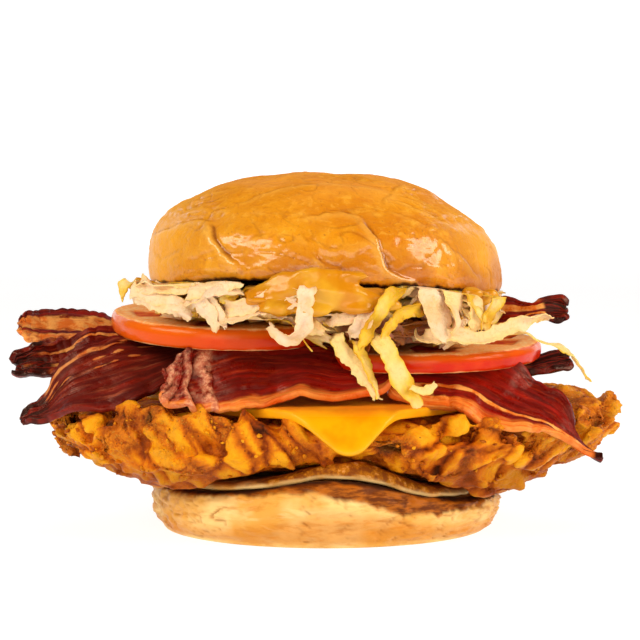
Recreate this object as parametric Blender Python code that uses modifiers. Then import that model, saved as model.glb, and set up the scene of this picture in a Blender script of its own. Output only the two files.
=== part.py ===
"""Fried chicken burger: a glazed soft bun round chicken, cheese, bacon, tomato, lettuce and sauce.

Every layer is one closed solid. +X is to the eater's right, -Y is the front, +Z is up, and the
origin is the centre of the flat base that the burger stands on. The layers are laid from the
bottom up, and each one rests on what is already there.
"""

import math
import random

import bmesh
import bpy
from mathutils import Vector, noise
from mathutils.bvhtree import BVHTree

MM = 0.001

# Bun
BUN_RADIUS = 54 * MM
HEEL_HEIGHT = 13.5 * MM
HEEL_ARCH = 6.5 * MM
HEEL_SLOPE = 0.035
HEEL_FOOT_RADIUS = 45 * MM
CROWN_BASE_Z = 76.5 * MM
CROWN_HEIGHT = 32.5 * MM
CROWN_TILT = 0.02
DOME_POWER = 2.3

# Fillings
HEEL_SAUCE_THICKNESS = 1.9 * MM
CHICKEN_LEFT = 88 * MM
CHICKEN_RIGHT = 87.5 * MM
CHICKEN_FRONT = 60 * MM
CHICKEN_BACK = 56 * MM
CHICKEN_TOP_Z = 39 * MM
EDGE_BLUNTNESS = 0.58
CRAG_SIZE = 15 * MM
CRAG_DEPTH = 3.6 * MM
CRAG_SEED = 1795895962
CHEESE_SIDE = 86 * MM
CHEESE_THICKNESS = 2.8 * MM
CHEESE_CENTRE = (5.5 * MM, -10 * MM)
CHEESE_TURN = math.radians(49)
CHEESE_FOLD_Y = 53 * MM
BACON_THICKNESS = 2.3 * MM
LETTUCE_RADIUS = 49 * MM
SHRED_THICKNESS = 1.3 * MM
SAUCE_LOW_Z = 72.4 * MM
GAP = 0.4 * MM

# Each bacon route runs left to right: (x, y, z, degrees that the front edge hangs down, width).
BACON = {
    "bacon_long": {
        "route": [(-95, -9, 50, 25, 12), (-84, -9, 52, 30, 17), (-72, -9, 54, 30, 21),
                  (-57, -7, 53.5, 18, 24), (-32, -1, 52, 8, 25), (3, 1, 47.5, 0, 25),
                  (40, -2, 45.5, 2, 23), (58, -8, 46.5, 14, 16), (75, -8, 51.5, 22, 12)],
        "ripple": 1.0, "waves": 4.5, "phase": 0.3,
    },
    "bacon_left_back": {
        "route": [(-97, 17, 60, 12, 13), (-86, 18, 60, 16, 24), (-66, 21, 57, 14, 25),
                  (-42, 28, 55.5, 8, 25), (-8, 31, 49.5, 0, 25), (34, 31, 43, -8, 24),
                  (62, 30, 41, -10, 18)],
        "ripple": 1.2, "waves": 3.5, "phase": 2.0,
    },
    "bacon_left_front": {
        "route": [(-92, -29, 35, 20, 5), (-84, -31, 39, 35, 11), (-73, -33, 46, 44, 21),
                  (-62, -32, 50, 42, 25), (-51, -27, 50.5, 28, 24), (-40, -19, 48.5, 6, 18)],
        "ripple": 0.9, "waves": 3.0, "phase": 1.0,
    },
    "bacon_right_front": {
        "route": [(22, -35, 44.5, 6, 13), (32, -37, 45, 12, 22), (43, -38, 44.5, 20, 25),
                  (55, -41, 41, 30, 25), (65, -42, 38, 40, 21), (72, -44, 32, 42, 9),
                  (80, -44, 25, 30, 3.5)],
        "ripple": 1.0, "waves": 3.0, "phase": 0.8,
    },
    "bacon_front": {
        "route": [(-47, -46, 48, 66, 14), (-42, -47, 47, 62, 18), (-33, -45, 47, 48, 23),
                  (-22, -42, 47.4, 24, 23), (-10, -41, 47.8, 10, 22), (3, -41, 47, 10, 20),
                  (13, -41, 47, 8, 13)],
        "ripple": 1.2, "waves": 3.5, "phase": 4.2,
    },
    "bacon_right_top": {
        "route": [(36, 3, 60, 4, 16), (48, 0, 62.5, 14, 20), (57, -2, 64.5, 24, 17),
                  (64, -3, 66, 20, 9), (69, -3, 67, 24, 12), (74.5, -3, 67.5, 20, 10)],
        "ripple": 0.5, "waves": 2.0, "phase": 0.0,
    },
}

# Each slice: centre (x, y), z of its underside there, its slopes along x and y, radius, thickness.
TOMATOES = {
    "tomato_right": {"centre": (29, -12), "under_z": 51.4, "slope": (0.01, 0.045),
                     "radius": 36.6, "thickness": 5.6},
    "tomato_left": {"centre": (-31.5, -12), "under_z": 58.2, "slope": (-0.04, 0.07),
                    "radius": 34, "thickness": 6.4},
}

# Shreds that stand out at the front: (x, y, z, degrees of twist) from the heap outwards, and a width.
FRONT_SHREDS = [
    ([(22, -40, 70, 40), (20, -51, 68, 60), (14, -57, 62, 75), (11, -58, 56, 80),
      (14, -58.5, 50, 75), (15, -58, 45, 70)], 5.0),
    ([(9, -42, 62, 20), (5, -52, 62.5, 50), (6, -56.5, 58, 70), (10, -58.5, 53, 75)], 4.5),
    ([(28, -40, 69, 30), (26, -51, 69, 55), (21, -57, 63, 70), (20, -58, 57, 70),
      (24, -58.5, 51, 75), (26, -58.5, 46, 75), (29, -58, 43, 70)], 6.5),
    ([(-2, -42, 66, 20), (-5, -53, 66, 60), (-9, -56, 61, 70), (-15, -55, 62, 60),
      (-19, -52, 65, 40)], 5.5),
    ([(26, -40, 62, 10), (36, -52, 60.5, 25), (48, -50, 62, 30), (58, -44, 65, 30),
      (65, -40, 67, 20)], 6.0),
    ([(50, -40, 63, 20), (62, -42, 64, 30), (70, -43, 61, 40), (75, -44, 55, 50),
      (78, -45, 49, 50)], 3.4),
    ([(-30, -38, 68, 10), (-36, -49, 67.5, 55), (-27, -52, 67, 60), (-14, -52, 67, 50)], 7.5),
    ([(-30, -30, 70, 0), (-42, -40, 70, 50), (-50, -32, 70, 60), (-56, -23, 71, 60)], 8.5),
    ([(-40, -20, 72, 0), (-50, -20, 72.5, 40), (-57, -14, 73, 60), (-61, -8, 73.5, 70)], 7.0),
    ([(32, -36, 70, 20), (33, -50, 71, 70), (37, -50, 66, 80), (39, -46, 62, 80)], 9.0),
    ([(42, -25, 70, 10), (50, -30, 70, 40), (55, -22, 69, 50), (57, -12, 68, 50)], 6.0),
]
SHRED_SEED = 11
SHRED_COUNT = 32

# Creases of the crown: (turn in degrees from the right, height as a share) points, and a depth.
CROWN_CREASES = [
    ([(236, 0.62), (241, 0.40), (250, 0.08)], 1.5),
    ([(190, 0.52), (212, 0.66), (236, 0.62), (262, 0.74)], 0.9),
    ([(262, 0.70), (285, 0.66), (297, 0.40), (311, 0.06)], 1.5),
    ([(300, 0.92), (310, 0.70), (332, 0.52), (350, 0.45)], 1.0),
    ([(40, 0.75), (62, 0.45), (80, 0.12)], 1.3),
    ([(110, 0.15), (128, 0.50), (160, 0.62)], 1.2),
]

# Name: (red, green, blue), roughness
MATERIALS = {
    "glazed_crust": ((0.78, 0.36, 0.06), 0.3),
    "soft_crust": ((0.86, 0.55, 0.2), 0.55),
    "pale_sauce": ((0.86, 0.68, 0.3), 0.3),
    "fried_breading": ((0.68, 0.27, 0.05), 0.5),
    "cheese": ((0.95, 0.5, 0.03), 0.35),
    "bacon": ((0.36, 0.06, 0.03), 0.3),
    "tomato": ((0.8, 0.13, 0.04), 0.2),
    "lettuce": ((0.9, 0.84, 0.5), 0.35),
    "orange_sauce": ((0.9, 0.47, 0.08), 0.25),
}


def gauss(value, width):
    return math.exp(-((value / width) ** 2))


def ease(value):
    """0 below 0, 1 above 1 and smooth between."""
    t = min(max(value, 0.0), 1.0)
    return t * t * (3 - 2 * t)


def along(points, share):
    """The place at a share, from 0 to 1, of a smooth curve through the points."""
    last = len(points) - 1
    place = min(max(share, 0.0), 1.0) * last
    i = min(int(place), last - 1)
    t = place - i
    before, start, end, after = (points[min(max(i + k, 0), last)] for k in (-1, 0, 1, 2))
    return [
        0.5 * (2 * b + (c - a) * t + (2 * a - 5 * b + 4 * c - d) * t**2 + (3 * b - a - 3 * c + d) * t**3)
        for a, b, c, d in zip(before, start, end, after)
    ]


def clear_scene():
    for obj in list(bpy.data.objects):
        bpy.data.objects.remove(obj)


def make_materials():
    for name, (colour, roughness) in MATERIALS.items():
        material = bpy.data.materials.new(name)
        material.use_nodes = True
        surface = material.node_tree.nodes["Principled BSDF"]
        surface.inputs["Base Color"].default_value = (*colour, 1)
        surface.inputs["Roughness"].default_value = roughness
        material.diffuse_color = (*colour, 1)


def add_mesh(name, mesh, material, collection):
    obj = bpy.data.objects.new(name, mesh)
    obj.data.materials.clear()
    obj.data.materials.append(bpy.data.materials[material])
    collection.objects.link(obj)
    return obj


def turned(name, profile, steps, material, collection):
    """A solid turned from (radius, z) points that run down the outer side, top to bottom."""
    bm = bmesh.new()
    verts = [bm.verts.new((r, 0, z)) for r, z in profile]
    for a, b in zip(verts, verts[1:]):
        bm.edges.new((a, b))
    mesh = bpy.data.meshes.new(name)
    bm.to_mesh(mesh)
    bm.free()
    obj = add_mesh(name, mesh, material, collection)
    screw = obj.modifiers.new("turn", "SCREW")
    screw.steps = steps
    screw.render_steps = steps
    screw.use_merge_vertices = True
    screw.merge_threshold = 0.00001
    apply_modifiers(obj)
    return obj


def apply_modifiers(obj):
    graph = bpy.context.evaluated_depsgraph_get()
    mesh = bpy.data.meshes.new_from_object(obj.evaluated_get(graph))
    obj.modifiers.clear()
    obj.data = mesh


def reshape(obj, place):
    """Moves each vertex to place(x, y, z)."""
    for vertex in obj.data.vertices:
        vertex.co = place(*vertex.co)
    obj.data.update()


class Stack:
    """The solids laid so far, and how high they reach above any point of the plan."""

    def __init__(self):
        self.trees = {}

    def add(self, obj):
        self.trees[obj.name] = tree_of(obj)

    def part(self, names):
        """A stack of only the named solids."""
        some = Stack()
        some.trees = {name: self.trees[name] for name in sorted(names)}
        return some

    def top(self, x, y):
        start, down = Vector((x, y, 0.3)), Vector((0, 0, -1))
        hits = [tree.ray_cast(start, down)[0] for tree in self.trees.values()]
        return max((hit.z for hit in hits if hit), default=0.0)

    def top_near(self, x, y, reach):
        """The highest that they reach within this distance."""
        return max(self.top(*point) for point in round_about(x, y, reach))

    def roof_near(self, x, y, reach):
        """The lowest underside over this point or near it."""
        up = Vector((0, 0, 1))
        starts = [Vector((*point, 0)) for point in round_about(x, y, reach)]
        hits = [tree.ray_cast(start, up)[0] for tree in self.trees.values() for start in starts]
        return min((hit.z for hit in hits if hit), default=CROWN_BASE_Z)

    def touches(self, obj):
        tree = tree_of(obj)
        return any(tree.overlap(other) for other in self.trees.values())


def round_about(x, y, reach):
    """The point itself and two rings of eight points round it."""
    points = [(x, y)]
    for radius in (reach / 2, reach):
        turns = [math.tau * k / 8 for k in range(8)]
        points += [(x + radius * math.cos(turn), y + radius * math.sin(turn)) for turn in turns]
    return points


def tree_of(obj):
    bm = bmesh.new()
    bm.from_mesh(obj.data)
    tree = BVHTree.FromBMesh(bm)
    bm.free()
    return tree


def heel_top(x, y):
    """Height of the heel's cut face: lower on the right, arched at the middle of the front."""
    arch = HEEL_ARCH * gauss(x - 4 * MM, 27 * MM) * ease(-y / BUN_RADIUS)
    pressed = HEEL_SLOPE * (x + 0.5 * abs(x))
    return HEEL_HEIGHT + arch - pressed


def make_bun_heel(collection):
    r, h, foot = BUN_RADIUS, 1.0, HEEL_FOOT_RADIUS
    profile = [(0, h), (0.3 * r, h), (0.58 * r, h), (0.82 * r, h), (0.955 * r, 0.985 * h),
               (0.99 * r, 0.9 * h), (r, 0.7 * h), (0.99 * r, 0.45 * h), (0.955 * r, 0.22 * h),
               (0.9 * r, 0.07 * h), (foot, 0), (0, 0)]
    heel = turned("bun_heel", profile, 44, "soft_crust", collection)

    def place(x, y, z):
        turn = math.atan2(y, x)
        wobble = 1 + z * (0.008 * math.sin(3 * turn + 1) + 0.006 * math.sin(7 * turn))
        return x * wobble, y * wobble, z * heel_top(x, y)

    reshape(heel, place)
    return heel


def make_heel_sauce(collection):
    t = HEEL_SAUCE_THICKNESS
    profile = [(0, t), (20 * MM, t), (38 * MM, t), (49 * MM, 0.9 * t), (50.5 * MM, 0.5 * t),
               (49.5 * MM, 0), (38 * MM, 0), (20 * MM, 0), (0, 0)]
    sauce = turned("heel_sauce", profile, 32, "pale_sauce", collection)

    def place(x, y, z):
        turn = math.atan2(y, x)
        spread = 1 + 0.02 * math.sin(5 * turn) + 0.012 * math.sin(9 * turn + 2)
        spread += 0.05 * gauss(x - 6 * MM, 28 * MM) * ease(-y / BUN_RADIUS) - 0.02
        x, y = x * spread, y * spread
        return x, y, z + heel_top(x, y) + GAP

    reshape(sauce, place)
    return sauce


def chicken_under(x, y):
    """The fillet lies on the sauce, droops past the bun's rim and lifts towards its ends."""
    r = math.hypot(x, y)
    inside = min(1.0, BUN_RADIUS / max(r, 1e-6))
    lying = heel_top(x * inside, y * inside) + HEEL_SAUCE_THICKNESS + 2 * GAP
    arched = gauss(x - 6 * MM, 22 * MM) * ease(-y / BUN_RADIUS)
    droop = 5.2 * MM * (1 - 0.85 * arched) * ease((r - 55.5 * MM) / (7 * MM))
    past = (x - 56 * MM) / (34 * MM) if x > 0 else (-x - 48 * MM) / (40 * MM)
    lift = 8 * MM * ease(past)
    return lying - droop + lift


def chicken_over(x, y):
    """The fillet's top: humped at the right, and sloping a little to its front and its back."""
    hump = 6.5 * MM * gauss(x - 73 * MM, 12 * MM) * ease((y + 34 * MM) / (30 * MM))
    bulge = 1 * MM * gauss(x + 60 * MM, 20 * MM) + 1.5 * MM * gauss(x - 80 * MM, 16 * MM) + hump
    corner = 1.5 * MM + 3.5 * MM * ease((abs(x - 5 * MM) - 16 * MM) / (30 * MM))
    front = corner * ease((-y - 20 * MM) / (36 * MM))
    back = 4 * MM * ease((y - 25 * MM) / (35 * MM))
    return CHICKEN_TOP_Z + bulge - front - back


def crag(point):
    """0 in the clefts between two lumps of breading and 1 on a lump."""
    warped = point + 3 * MM * noise.noise_vector(point / (18 * MM))
    near, second = noise.voronoi(warped / CRAG_SIZE)[0][:2]
    return ease((second - near) / 0.42)


def rounded(share):
    """Squares an ellipse a little: the cosine or sine of a turn in, its share of the half side out."""
    return math.copysign(abs(share) ** 0.88, share)


def make_chicken(collection):
    noise.seed_set(CRAG_SEED)
    bm = bmesh.new()
    bmesh.ops.create_icosphere(bm, subdivisions=5, radius=1)
    for vertex in bm.verts:
        nx, ny, nz = vertex.co
        turn = math.atan2(ny, nx)
        outline = 1 + 0.035 * math.sin(3 * turn + 0.6) + 0.025 * math.sin(5 * turn + 2.1)
        outline -= 0.11 * gauss(turn + math.radians(88), 0.3) + 0.03 * gauss(turn + math.radians(68), 0.1)
        level = math.copysign(abs(nz) ** EDGE_BLUNTNESS, nz)
        reach = outline * math.hypot(nx, ny) ** EDGE_BLUNTNESS
        x = reach * rounded(math.cos(turn)) * (CHICKEN_RIGHT if nx > 0 else CHICKEN_LEFT)
        y = reach * rounded(math.sin(turn)) * (CHICKEN_BACK if ny > 0 else CHICKEN_FRONT)
        low, high = chicken_under(x, y), chicken_over(x, y)
        smooth = Vector((x, y, (low + high) / 2 + level * (high - low) / 2))
        lump = crag(smooth)
        edge = 1 - abs(nz)
        sideways = Vector((nx, ny * 1.3, 0))
        out = sideways * edge * (3.2 * MM * (lump - 0.55))
        down = -math.copysign(CRAG_DEPTH * (1 - lump) * (0.35 + 0.65 * edge), nz)
        vertex.co = smooth + out + Vector((0, 0, down))
    mesh = bpy.data.meshes.new("chicken_fillet")
    bm.to_mesh(mesh)
    bm.free()
    chicken = add_mesh("chicken_fillet", mesh, "fried_breading", collection)
    fewer = chicken.modifiers.new("fewer", "DECIMATE")
    fewer.ratio = 0.74
    apply_modifiers(chicken)
    return chicken


def sheet(name, segments, place, thickness, material, collection):
    """A thin solid: a grid whose points go to place(u, v), with u and v from -1 to 1."""
    bm = bmesh.new()
    bmesh.ops.create_grid(bm, x_segments=segments[0], y_segments=segments[1], size=1)
    bmesh.ops.triangulate(bm, faces=bm.faces)
    for vertex in bm.verts:
        vertex.co = place(vertex.co.x, vertex.co.y)
    mesh = bpy.data.meshes.new(name)
    bm.to_mesh(mesh)
    bm.free()
    obj = add_mesh(name, mesh, material, collection)
    wall = obj.modifiers.new("thickness", "SOLIDIFY")
    wall.thickness = thickness
    wall.offset = 0
    apply_modifiers(obj)
    return obj


def make_cheese(collection):
    half = CHEESE_SIDE / 2
    corner = 0.16
    bend_radius = 6 * MM
    steepest = math.radians(68)

    def place(u, v):
        over = (max(abs(u) - (1 - corner), 0), max(abs(v) - (1 - corner), 0))
        if min(over) > 0:
            pull = max(over) / math.hypot(*over)
            u -= math.copysign(over[0] * (1 - pull), u)
            v -= math.copysign(over[1] * (1 - pull), v)
        a, b = u * half, v * half
        x = CHEESE_CENTRE[0] + a * math.cos(CHEESE_TURN) - b * math.sin(CHEESE_TURN)
        y = CHEESE_CENTRE[1] + a * math.sin(CHEESE_TURN) + b * math.cos(CHEESE_TURN)
        past = max(-y - CHEESE_FOLD_Y, 0)
        bend = min(past / bend_radius, steepest)
        rest = past - bend * bend_radius
        drop = bend_radius * (1 - math.cos(bend)) + rest * math.sin(steepest)
        if past:
            y = -(CHEESE_FOLD_Y + bend_radius * math.sin(bend) + rest * math.cos(steepest))
        level = chicken_over(x, max(y, -CHEESE_FOLD_Y)) + CHEESE_THICKNESS / 2 + GAP
        return x, y, level - drop

    return sheet("cheese_slice", (12, 12), place, CHEESE_THICKNESS, "cheese", collection)


def raised(rows, stack, clearance, reach):
    """Lifts each row of points until it clears the stack, with the lift spread smoothly."""
    need = [
        max(max(stack.top_near(p.x, p.y, reach) + clearance - p.z for p in row), 0.0) for row in rows
    ]
    widest = [max(need[max(i - 1, 0) : i + 2]) for i in range(len(need))]
    for i, row in enumerate(rows):
        near = widest[max(i - 1, 0) : i + 2]
        for p in row:
            p.z += sum(near) / len(near)


def ribbon_rows(route, count, across, ripple=0.0, waves=0.0, phase=0.0):
    """Rows of points across a strip that follows (x, y, z, roll, width) values in millimetres."""
    rows = []
    for i in range(count + 1):
        s = i / count
        x, y, z, roll, width = along(route, s)
        ahead = Vector(along(route, s + 0.02)[:3]) - Vector(along(route, s - 0.02)[:3])
        side = ahead.cross(Vector((0, 0, 1))).normalized()
        up = side.cross(ahead).normalized()
        tilt = math.radians(roll)
        over = side * math.cos(tilt) - up * math.sin(tilt)
        face = side * math.sin(tilt) + up * math.cos(tilt)
        row = []
        for j in range(across + 1):
            a = 2 * j / across - 1
            wave = ripple * math.sin(math.tau * waves * s + phase + 0.7 * a) * (0.5 + 0.5 * abs(a))
            row.append((Vector((x, y, z)) + over * (a * width / 2) + face * wave) * MM)
        rows.append(row)
    return rows


def ribbon(name, rows, thickness, material, collection):
    """A thin solid through rows of points."""
    count, across = len(rows) - 1, len(rows[0]) - 1

    def place(u, v):
        return rows[round((u + 1) / 2 * count)][round((v + 1) / 2 * across)]

    return sheet(name, (count, across), place, thickness, material, collection)


def make_bacon(name, stack, collection):
    strip = BACON[name]
    length = len(strip["route"]) - 1
    rows = ribbon_rows(strip["route"], 2 * length + 5, 3, strip["ripple"], strip["waves"], strip["phase"])
    raised(rows, stack, BACON_THICKNESS * 0.62 + GAP, 3.5 * MM)
    return ribbon(name, rows, BACON_THICKNESS, "bacon", collection)


def make_tomato(name, stack, collection):
    slice_ = TOMATOES[name]
    r, t = slice_["radius"] * MM, slice_["thickness"] * MM
    cx, cy = (c * MM for c in slice_["centre"])
    profile = [(0, t), (r - 1.3 * MM, t), (r - 0.2 * MM, 0.8 * t), (r, 0.45 * t),
               (r - 0.5 * MM, 0.12 * t), (r - 1.6 * MM, 0), (0, 0)]
    tomato = turned(name, profile, 36, "tomato", collection)

    def under(x, y):
        return slice_["under_z"] * MM + slice_["slope"][0] * (x - cx) + slice_["slope"][1] * (y - cy)

    lift = 0.0
    for ring in range(13):
        for k in range(40):
            x = cx + ring / 12 * r * math.cos(math.tau * k / 40)
            y = cy + ring / 12 * r * math.sin(math.tau * k / 40)
            lift = max(lift, stack.top(x, y) + GAP - under(x, y))

    def place(x, y, z):
        turn = math.atan2(y, x)
        wobble = 1 + 0.012 * math.sin(3 * turn + 0.5) + 0.008 * math.sin(5 * turn)
        x, y = cx + x * wobble, cy + y * wobble
        return x, y, z + under(x, y) + lift

    reshape(tomato, place)
    return tomato


def make_lettuce_core(layers, roof, collection):
    """The heap's body: a ragged disc that follows the layers below it and the sauce and bun above it."""
    r = LETTUCE_RADIUS
    profile = [(0, 1), (0.36 * r, 1), (0.6 * r, 1), (0.78 * r, 1), (0.93 * r, 0.97), (r, 0.5),
               (0.94 * r, 0), (0.7 * r, 0), (0.36 * r, 0), (0, 0)]
    core = turned("shredded_lettuce", profile, 36, "lettuce", collection)

    def place(x, y, z):
        turn = math.atan2(y, x)
        rim = math.hypot(x, y) / r
        ragged = 3.2 * MM * rim**3 * noise.noise(Vector((3 * math.cos(turn), 3 * math.sin(turn), 2 * z)))
        x, y = x + ragged * math.cos(turn), y + ragged * math.sin(turn)
        low = layers.top_near(x, y, 9 * MM) + 2 * GAP
        high = roof.roof_near(x, y, 7 * MM) - 2 * GAP
        return x, y, low + z * (high - low)

    reshape(core, place)
    return core


def make_bun_crown(collection):
    r, h = BUN_RADIUS, CROWN_HEIGHT
    shares = [0, 0.2, 0.36, 0.5, 0.62, 0.73, 0.82, 0.89, 0.94, 0.98, 1.0]
    dome = [(r * s, h * (1 - s**DOME_POWER) ** (1 / DOME_POWER)) for s in shares[:-1]]
    rim = [(1.005 * r, 0.14 * h), (0.995 * r, 0.06 * h), (0.97 * r, 0.015 * h), (0.93 * r, 0),
           (0.5 * r, 0), (0, 0)]
    crown = turned("bun_crown", dome + rim, 44, "glazed_crust", collection)

    def place(x, y, z):
        turn = math.atan2(y, x)
        share = z / h
        wobble = 1 + 0.010 * math.sin(3 * turn + 2) + 0.007 * math.sin(5 * turn + 0.4)
        wobble += 0.012 * math.sin(2 * turn + 1) * share
        dent = sum(crease_depth(turn, share, points, depth) for points, depth in CROWN_CREASES)
        if z > 0.02 * h:
            shrink = 1 - dent * MM / math.hypot(math.hypot(x, y), z)
            x, y, z = x * shrink * wobble, y * shrink * wobble, z * shrink
        return x, y, z + CROWN_BASE_Z - CROWN_TILT * x

    reshape(crown, place)
    return crown


def crease_depth(turn, share, points, depth):
    """How deep one crease of the crown is here, in millimetres: most on its line, none 4 mm away."""
    degrees = math.degrees(turn) % 360
    best = 0.0
    for k in range(25):
        at, height = along(points, k / 24)
        across = math.radians((degrees - at + 180) % 360 - 180) * 54 * (1 - 0.6 * height)
        apart = math.hypot(across, (share - height) * 34)
        best = max(best, depth * gauss(apart, 2.6))
    return best


def make_burger_sauce(collection):
    """A pool under the crown whose front lobe runs out over the lettuce and up the bun's rim."""
    low, high = SAUCE_LOW_Z / MM, (CROWN_BASE_Z - GAP) / MM
    # Each point of the edge's outline: (radius, z) in millimetres, plain and in the middle of the lobe.
    outline = [((0, high), (0, high)), ((18, high), (18, high)), ((31, high), (40, high)),
               ((33, high - 0.3), (53.6, high - 0.2)), ((33.8, high - 0.9), (56.2, 77.2)),
               ((34, high - 1.5), (56.4, 81.2)), ((34, high - 2), (57.8, 81.0)),
               ((33.8, low + 1.2), (59.6, 75.6)), ((33.2, low + 0.5), (58.9, 69.9)),
               ((32, low), (55.6, 68.6)), ((28, low), (46, 71.4)), ((15, low), (15, low)),
               ((0, low), (0, low))]
    rows = [plain for plain, _ in outline]
    profile = [(r * MM, z * MM) for r, z in rows]
    pool = turned("burger_sauce", profile, 40, "orange_sauce", collection)

    def place(x, y, z):
        r, level = math.hypot(x, y) / MM, z / MM
        i = min(range(len(rows)), key=lambda k: abs(rows[k][0] - r) + abs(rows[k][1] - level))
        off = (math.degrees(math.atan2(y, x)) - 268) % 360
        off = off - 360 if off > 180 else off
        off -= 40 * math.sin(math.radians(off))
        out = ease(1.7 * gauss(off + 1, 26))
        up = out * ease(1.25 * gauss(off + 2, 14)) * (0.93 + 0.07 * math.sin(0.35 * off))
        down = out * ease(0.4 + 1.1 * gauss(off - 9, 13) + 0.3 * gauss(off + 14, 6))
        (r, level), (lobe_r, lobe_z) = outline[i]
        r += out * (lobe_r - r)
        level += (up if lobe_z > level else down) * (lobe_z - level)
        turn = math.radians(268 + off)
        x, y = r * math.cos(turn) * MM, r * math.sin(turn) * MM
        return x, y, level * MM - (CROWN_TILT * x if level > low + 1 else 0)

    reshape(pool, place)
    return pool


def shred(name, points, width, collection):
    """One strip of leaf through (x, y, z, roll) points in millimetres."""
    route = [(*point, width * (0.75 if k in (0, len(points) - 1) else 1)) for k, point in enumerate(points)]
    rows = ribbon_rows(route, len(points) + (2 if len(points) > 4 else 0), 1)
    return ribbon(name, rows, SHRED_THICKNESS, "lettuce", collection)


def loose_shreds(count, seed):
    """Strips all round the heap, spread evenly, that leave it sideways and droop at their tips."""
    draw = random.Random(seed)
    for k in range(count):
        turn = math.tau * (k + draw.uniform(-0.35, 0.35)) / count
        bend = draw.choice((-1, 1)) * draw.uniform(0.25, 0.75)
        start, reach = draw.uniform(34, 40), draw.uniform(51, 58)
        low = draw.uniform(61, 71)
        end = low + draw.uniform(-4, 3)
        points = []
        for share in (0, 0.4, 0.75, 1):
            r = start + (reach - start) * share
            at = turn + bend * share**1.5
            z = low + (end - low) * share**2 + draw.uniform(-0.8, 0.8)
            points.append((r * math.cos(at), r * math.sin(at), z, draw.uniform(-30, 40)))
        yield points, draw.uniform(6, 10)


def make_lettuce(stack, collection, pieces):
    """The core with every shred that stays clear of the other layers joined on."""
    above = {"burger_sauce", "bun_crown"}
    core = make_lettuce_core(stack.part(set(stack.trees) - above), stack.part(above), collection)
    kept = 0
    for points, width in [*FRONT_SHREDS, *loose_shreds(SHRED_COUNT, SHRED_SEED)]:
        for lift in (0, 1, 2, 3.5, 5, -1.5):
            moved = [(x, y, z + lift, roll) for x, y, z, roll in points]
            piece = shred(f"shred_{kept:02d}", moved, width, pieces)
            if not stack.touches(piece):
                kept += 1
                break
            bpy.data.objects.remove(piece)
    union = core.modifiers.new("shreds", "BOOLEAN")
    union.operation = "UNION"
    union.solver = "MANIFOLD"
    union.operand_type = "COLLECTION"
    union.collection = pieces
    apply_modifiers(core)
    for piece in list(pieces.objects):
        bpy.data.objects.remove(piece)
    keep_largest_shell(core)
    return core


def keep_largest_shell(obj):
    """Removes loose scraps and the walls of any hollow that joining has sealed."""
    bm = bmesh.new()
    bm.from_mesh(obj.data)
    left, shells = set(bm.faces), []
    while left:
        border = [left.pop()]
        shell = list(border)
        while border:
            for edge in border.pop().edges:
                for face in edge.link_faces:
                    if face in left:
                        left.discard(face)
                        border.append(face)
                        shell.append(face)
        shells.append(shell)
    shells.sort(key=len, reverse=True)
    for shell in shells[1:]:
        bmesh.ops.delete(bm, geom=shell, context="FACES")
    bm.to_mesh(obj.data)
    bm.free()


def shade(collection):
    for obj in collection.objects:
        obj.data.shade_smooth()
        obj.data.set_sharp_from_angle(angle=math.radians(50))


def main():
    clear_scene()
    make_materials()
    burger = bpy.data.collections.new("chicken_burger")
    pieces = bpy.data.collections.new("shreds_to_join")
    for collection in (burger, pieces):
        bpy.context.scene.collection.children.link(collection)
    stack = Stack()
    stack.add(make_bun_heel(burger))
    stack.add(make_heel_sauce(burger))
    stack.add(make_chicken(burger))
    stack.add(make_cheese(burger))
    for name in [name for name in BACON if name != "bacon_right_top"]:
        stack.add(make_bacon(name, stack, burger))
    for name in TOMATOES:
        stack.add(make_tomato(name, stack, burger))
    stack.add(make_bacon("bacon_right_top", stack, burger))
    stack.add(make_bun_crown(burger))
    stack.add(make_burger_sauce(burger))
    make_lettuce(stack, burger, pieces)
    bpy.data.collections.remove(pieces)
    shade(burger)


main()
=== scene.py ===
import math
import random

import bmesh
import bpy
from mathutils import Matrix, Vector, noise
from mathutils.bvhtree import BVHTree
from mathutils.kdtree import KDTree


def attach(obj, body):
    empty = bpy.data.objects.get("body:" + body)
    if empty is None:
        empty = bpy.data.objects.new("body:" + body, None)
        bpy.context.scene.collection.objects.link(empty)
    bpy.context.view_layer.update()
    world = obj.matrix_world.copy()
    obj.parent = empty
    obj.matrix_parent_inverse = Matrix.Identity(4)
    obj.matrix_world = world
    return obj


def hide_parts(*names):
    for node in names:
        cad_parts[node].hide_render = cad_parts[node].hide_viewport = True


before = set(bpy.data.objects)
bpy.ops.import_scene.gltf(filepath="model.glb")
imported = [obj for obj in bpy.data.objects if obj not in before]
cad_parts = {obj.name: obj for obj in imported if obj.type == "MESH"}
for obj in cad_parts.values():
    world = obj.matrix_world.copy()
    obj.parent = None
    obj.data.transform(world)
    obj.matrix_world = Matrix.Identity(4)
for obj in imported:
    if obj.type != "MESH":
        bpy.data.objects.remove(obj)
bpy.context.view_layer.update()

# Everything is modelled in millimetres and scaled to metres when a piece is finished.
mm = 0.001
scene = bpy.context.scene
noise.seed_set(3)        # without a seed of its own, noise_vector is shifted by the clock

viewPlan = {"place": (-0.0017, -0.7, 0.105), "lookDown": 3.4, "lens": 36 * 2258 / 640}

studioPlan = {
    "world": 0.12, "worldTint": (1, 0.84, 0.68, 1), "lampTint": (1, 0.88, 0.74),
    "floorGlow": 0.86, "backdropGlow": 1.05, "sheetSize": 3,
    # place, aim, width and height in metres, watts
    "softBoxes": {
        "leftBox": ((-0.74, -0.62, 0.66), (0, 0, 0.06), (0.9, 0.36), 9.0),
        "rightBox": ((0.86, -0.38, 0.52), (0, 0, 0.06), (0.66, 0.5), 8.8),
        "frontFill": ((0.05, -1.2, 0.16), (0, 0, 0.05), (0.7, 0.5), 3.2),
        "backLight": ((0.1, 0.8, 0.9), (0, 0, 0.06), (0.6, 0.6), 0.7),
    },
}


# Small helpers

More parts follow.
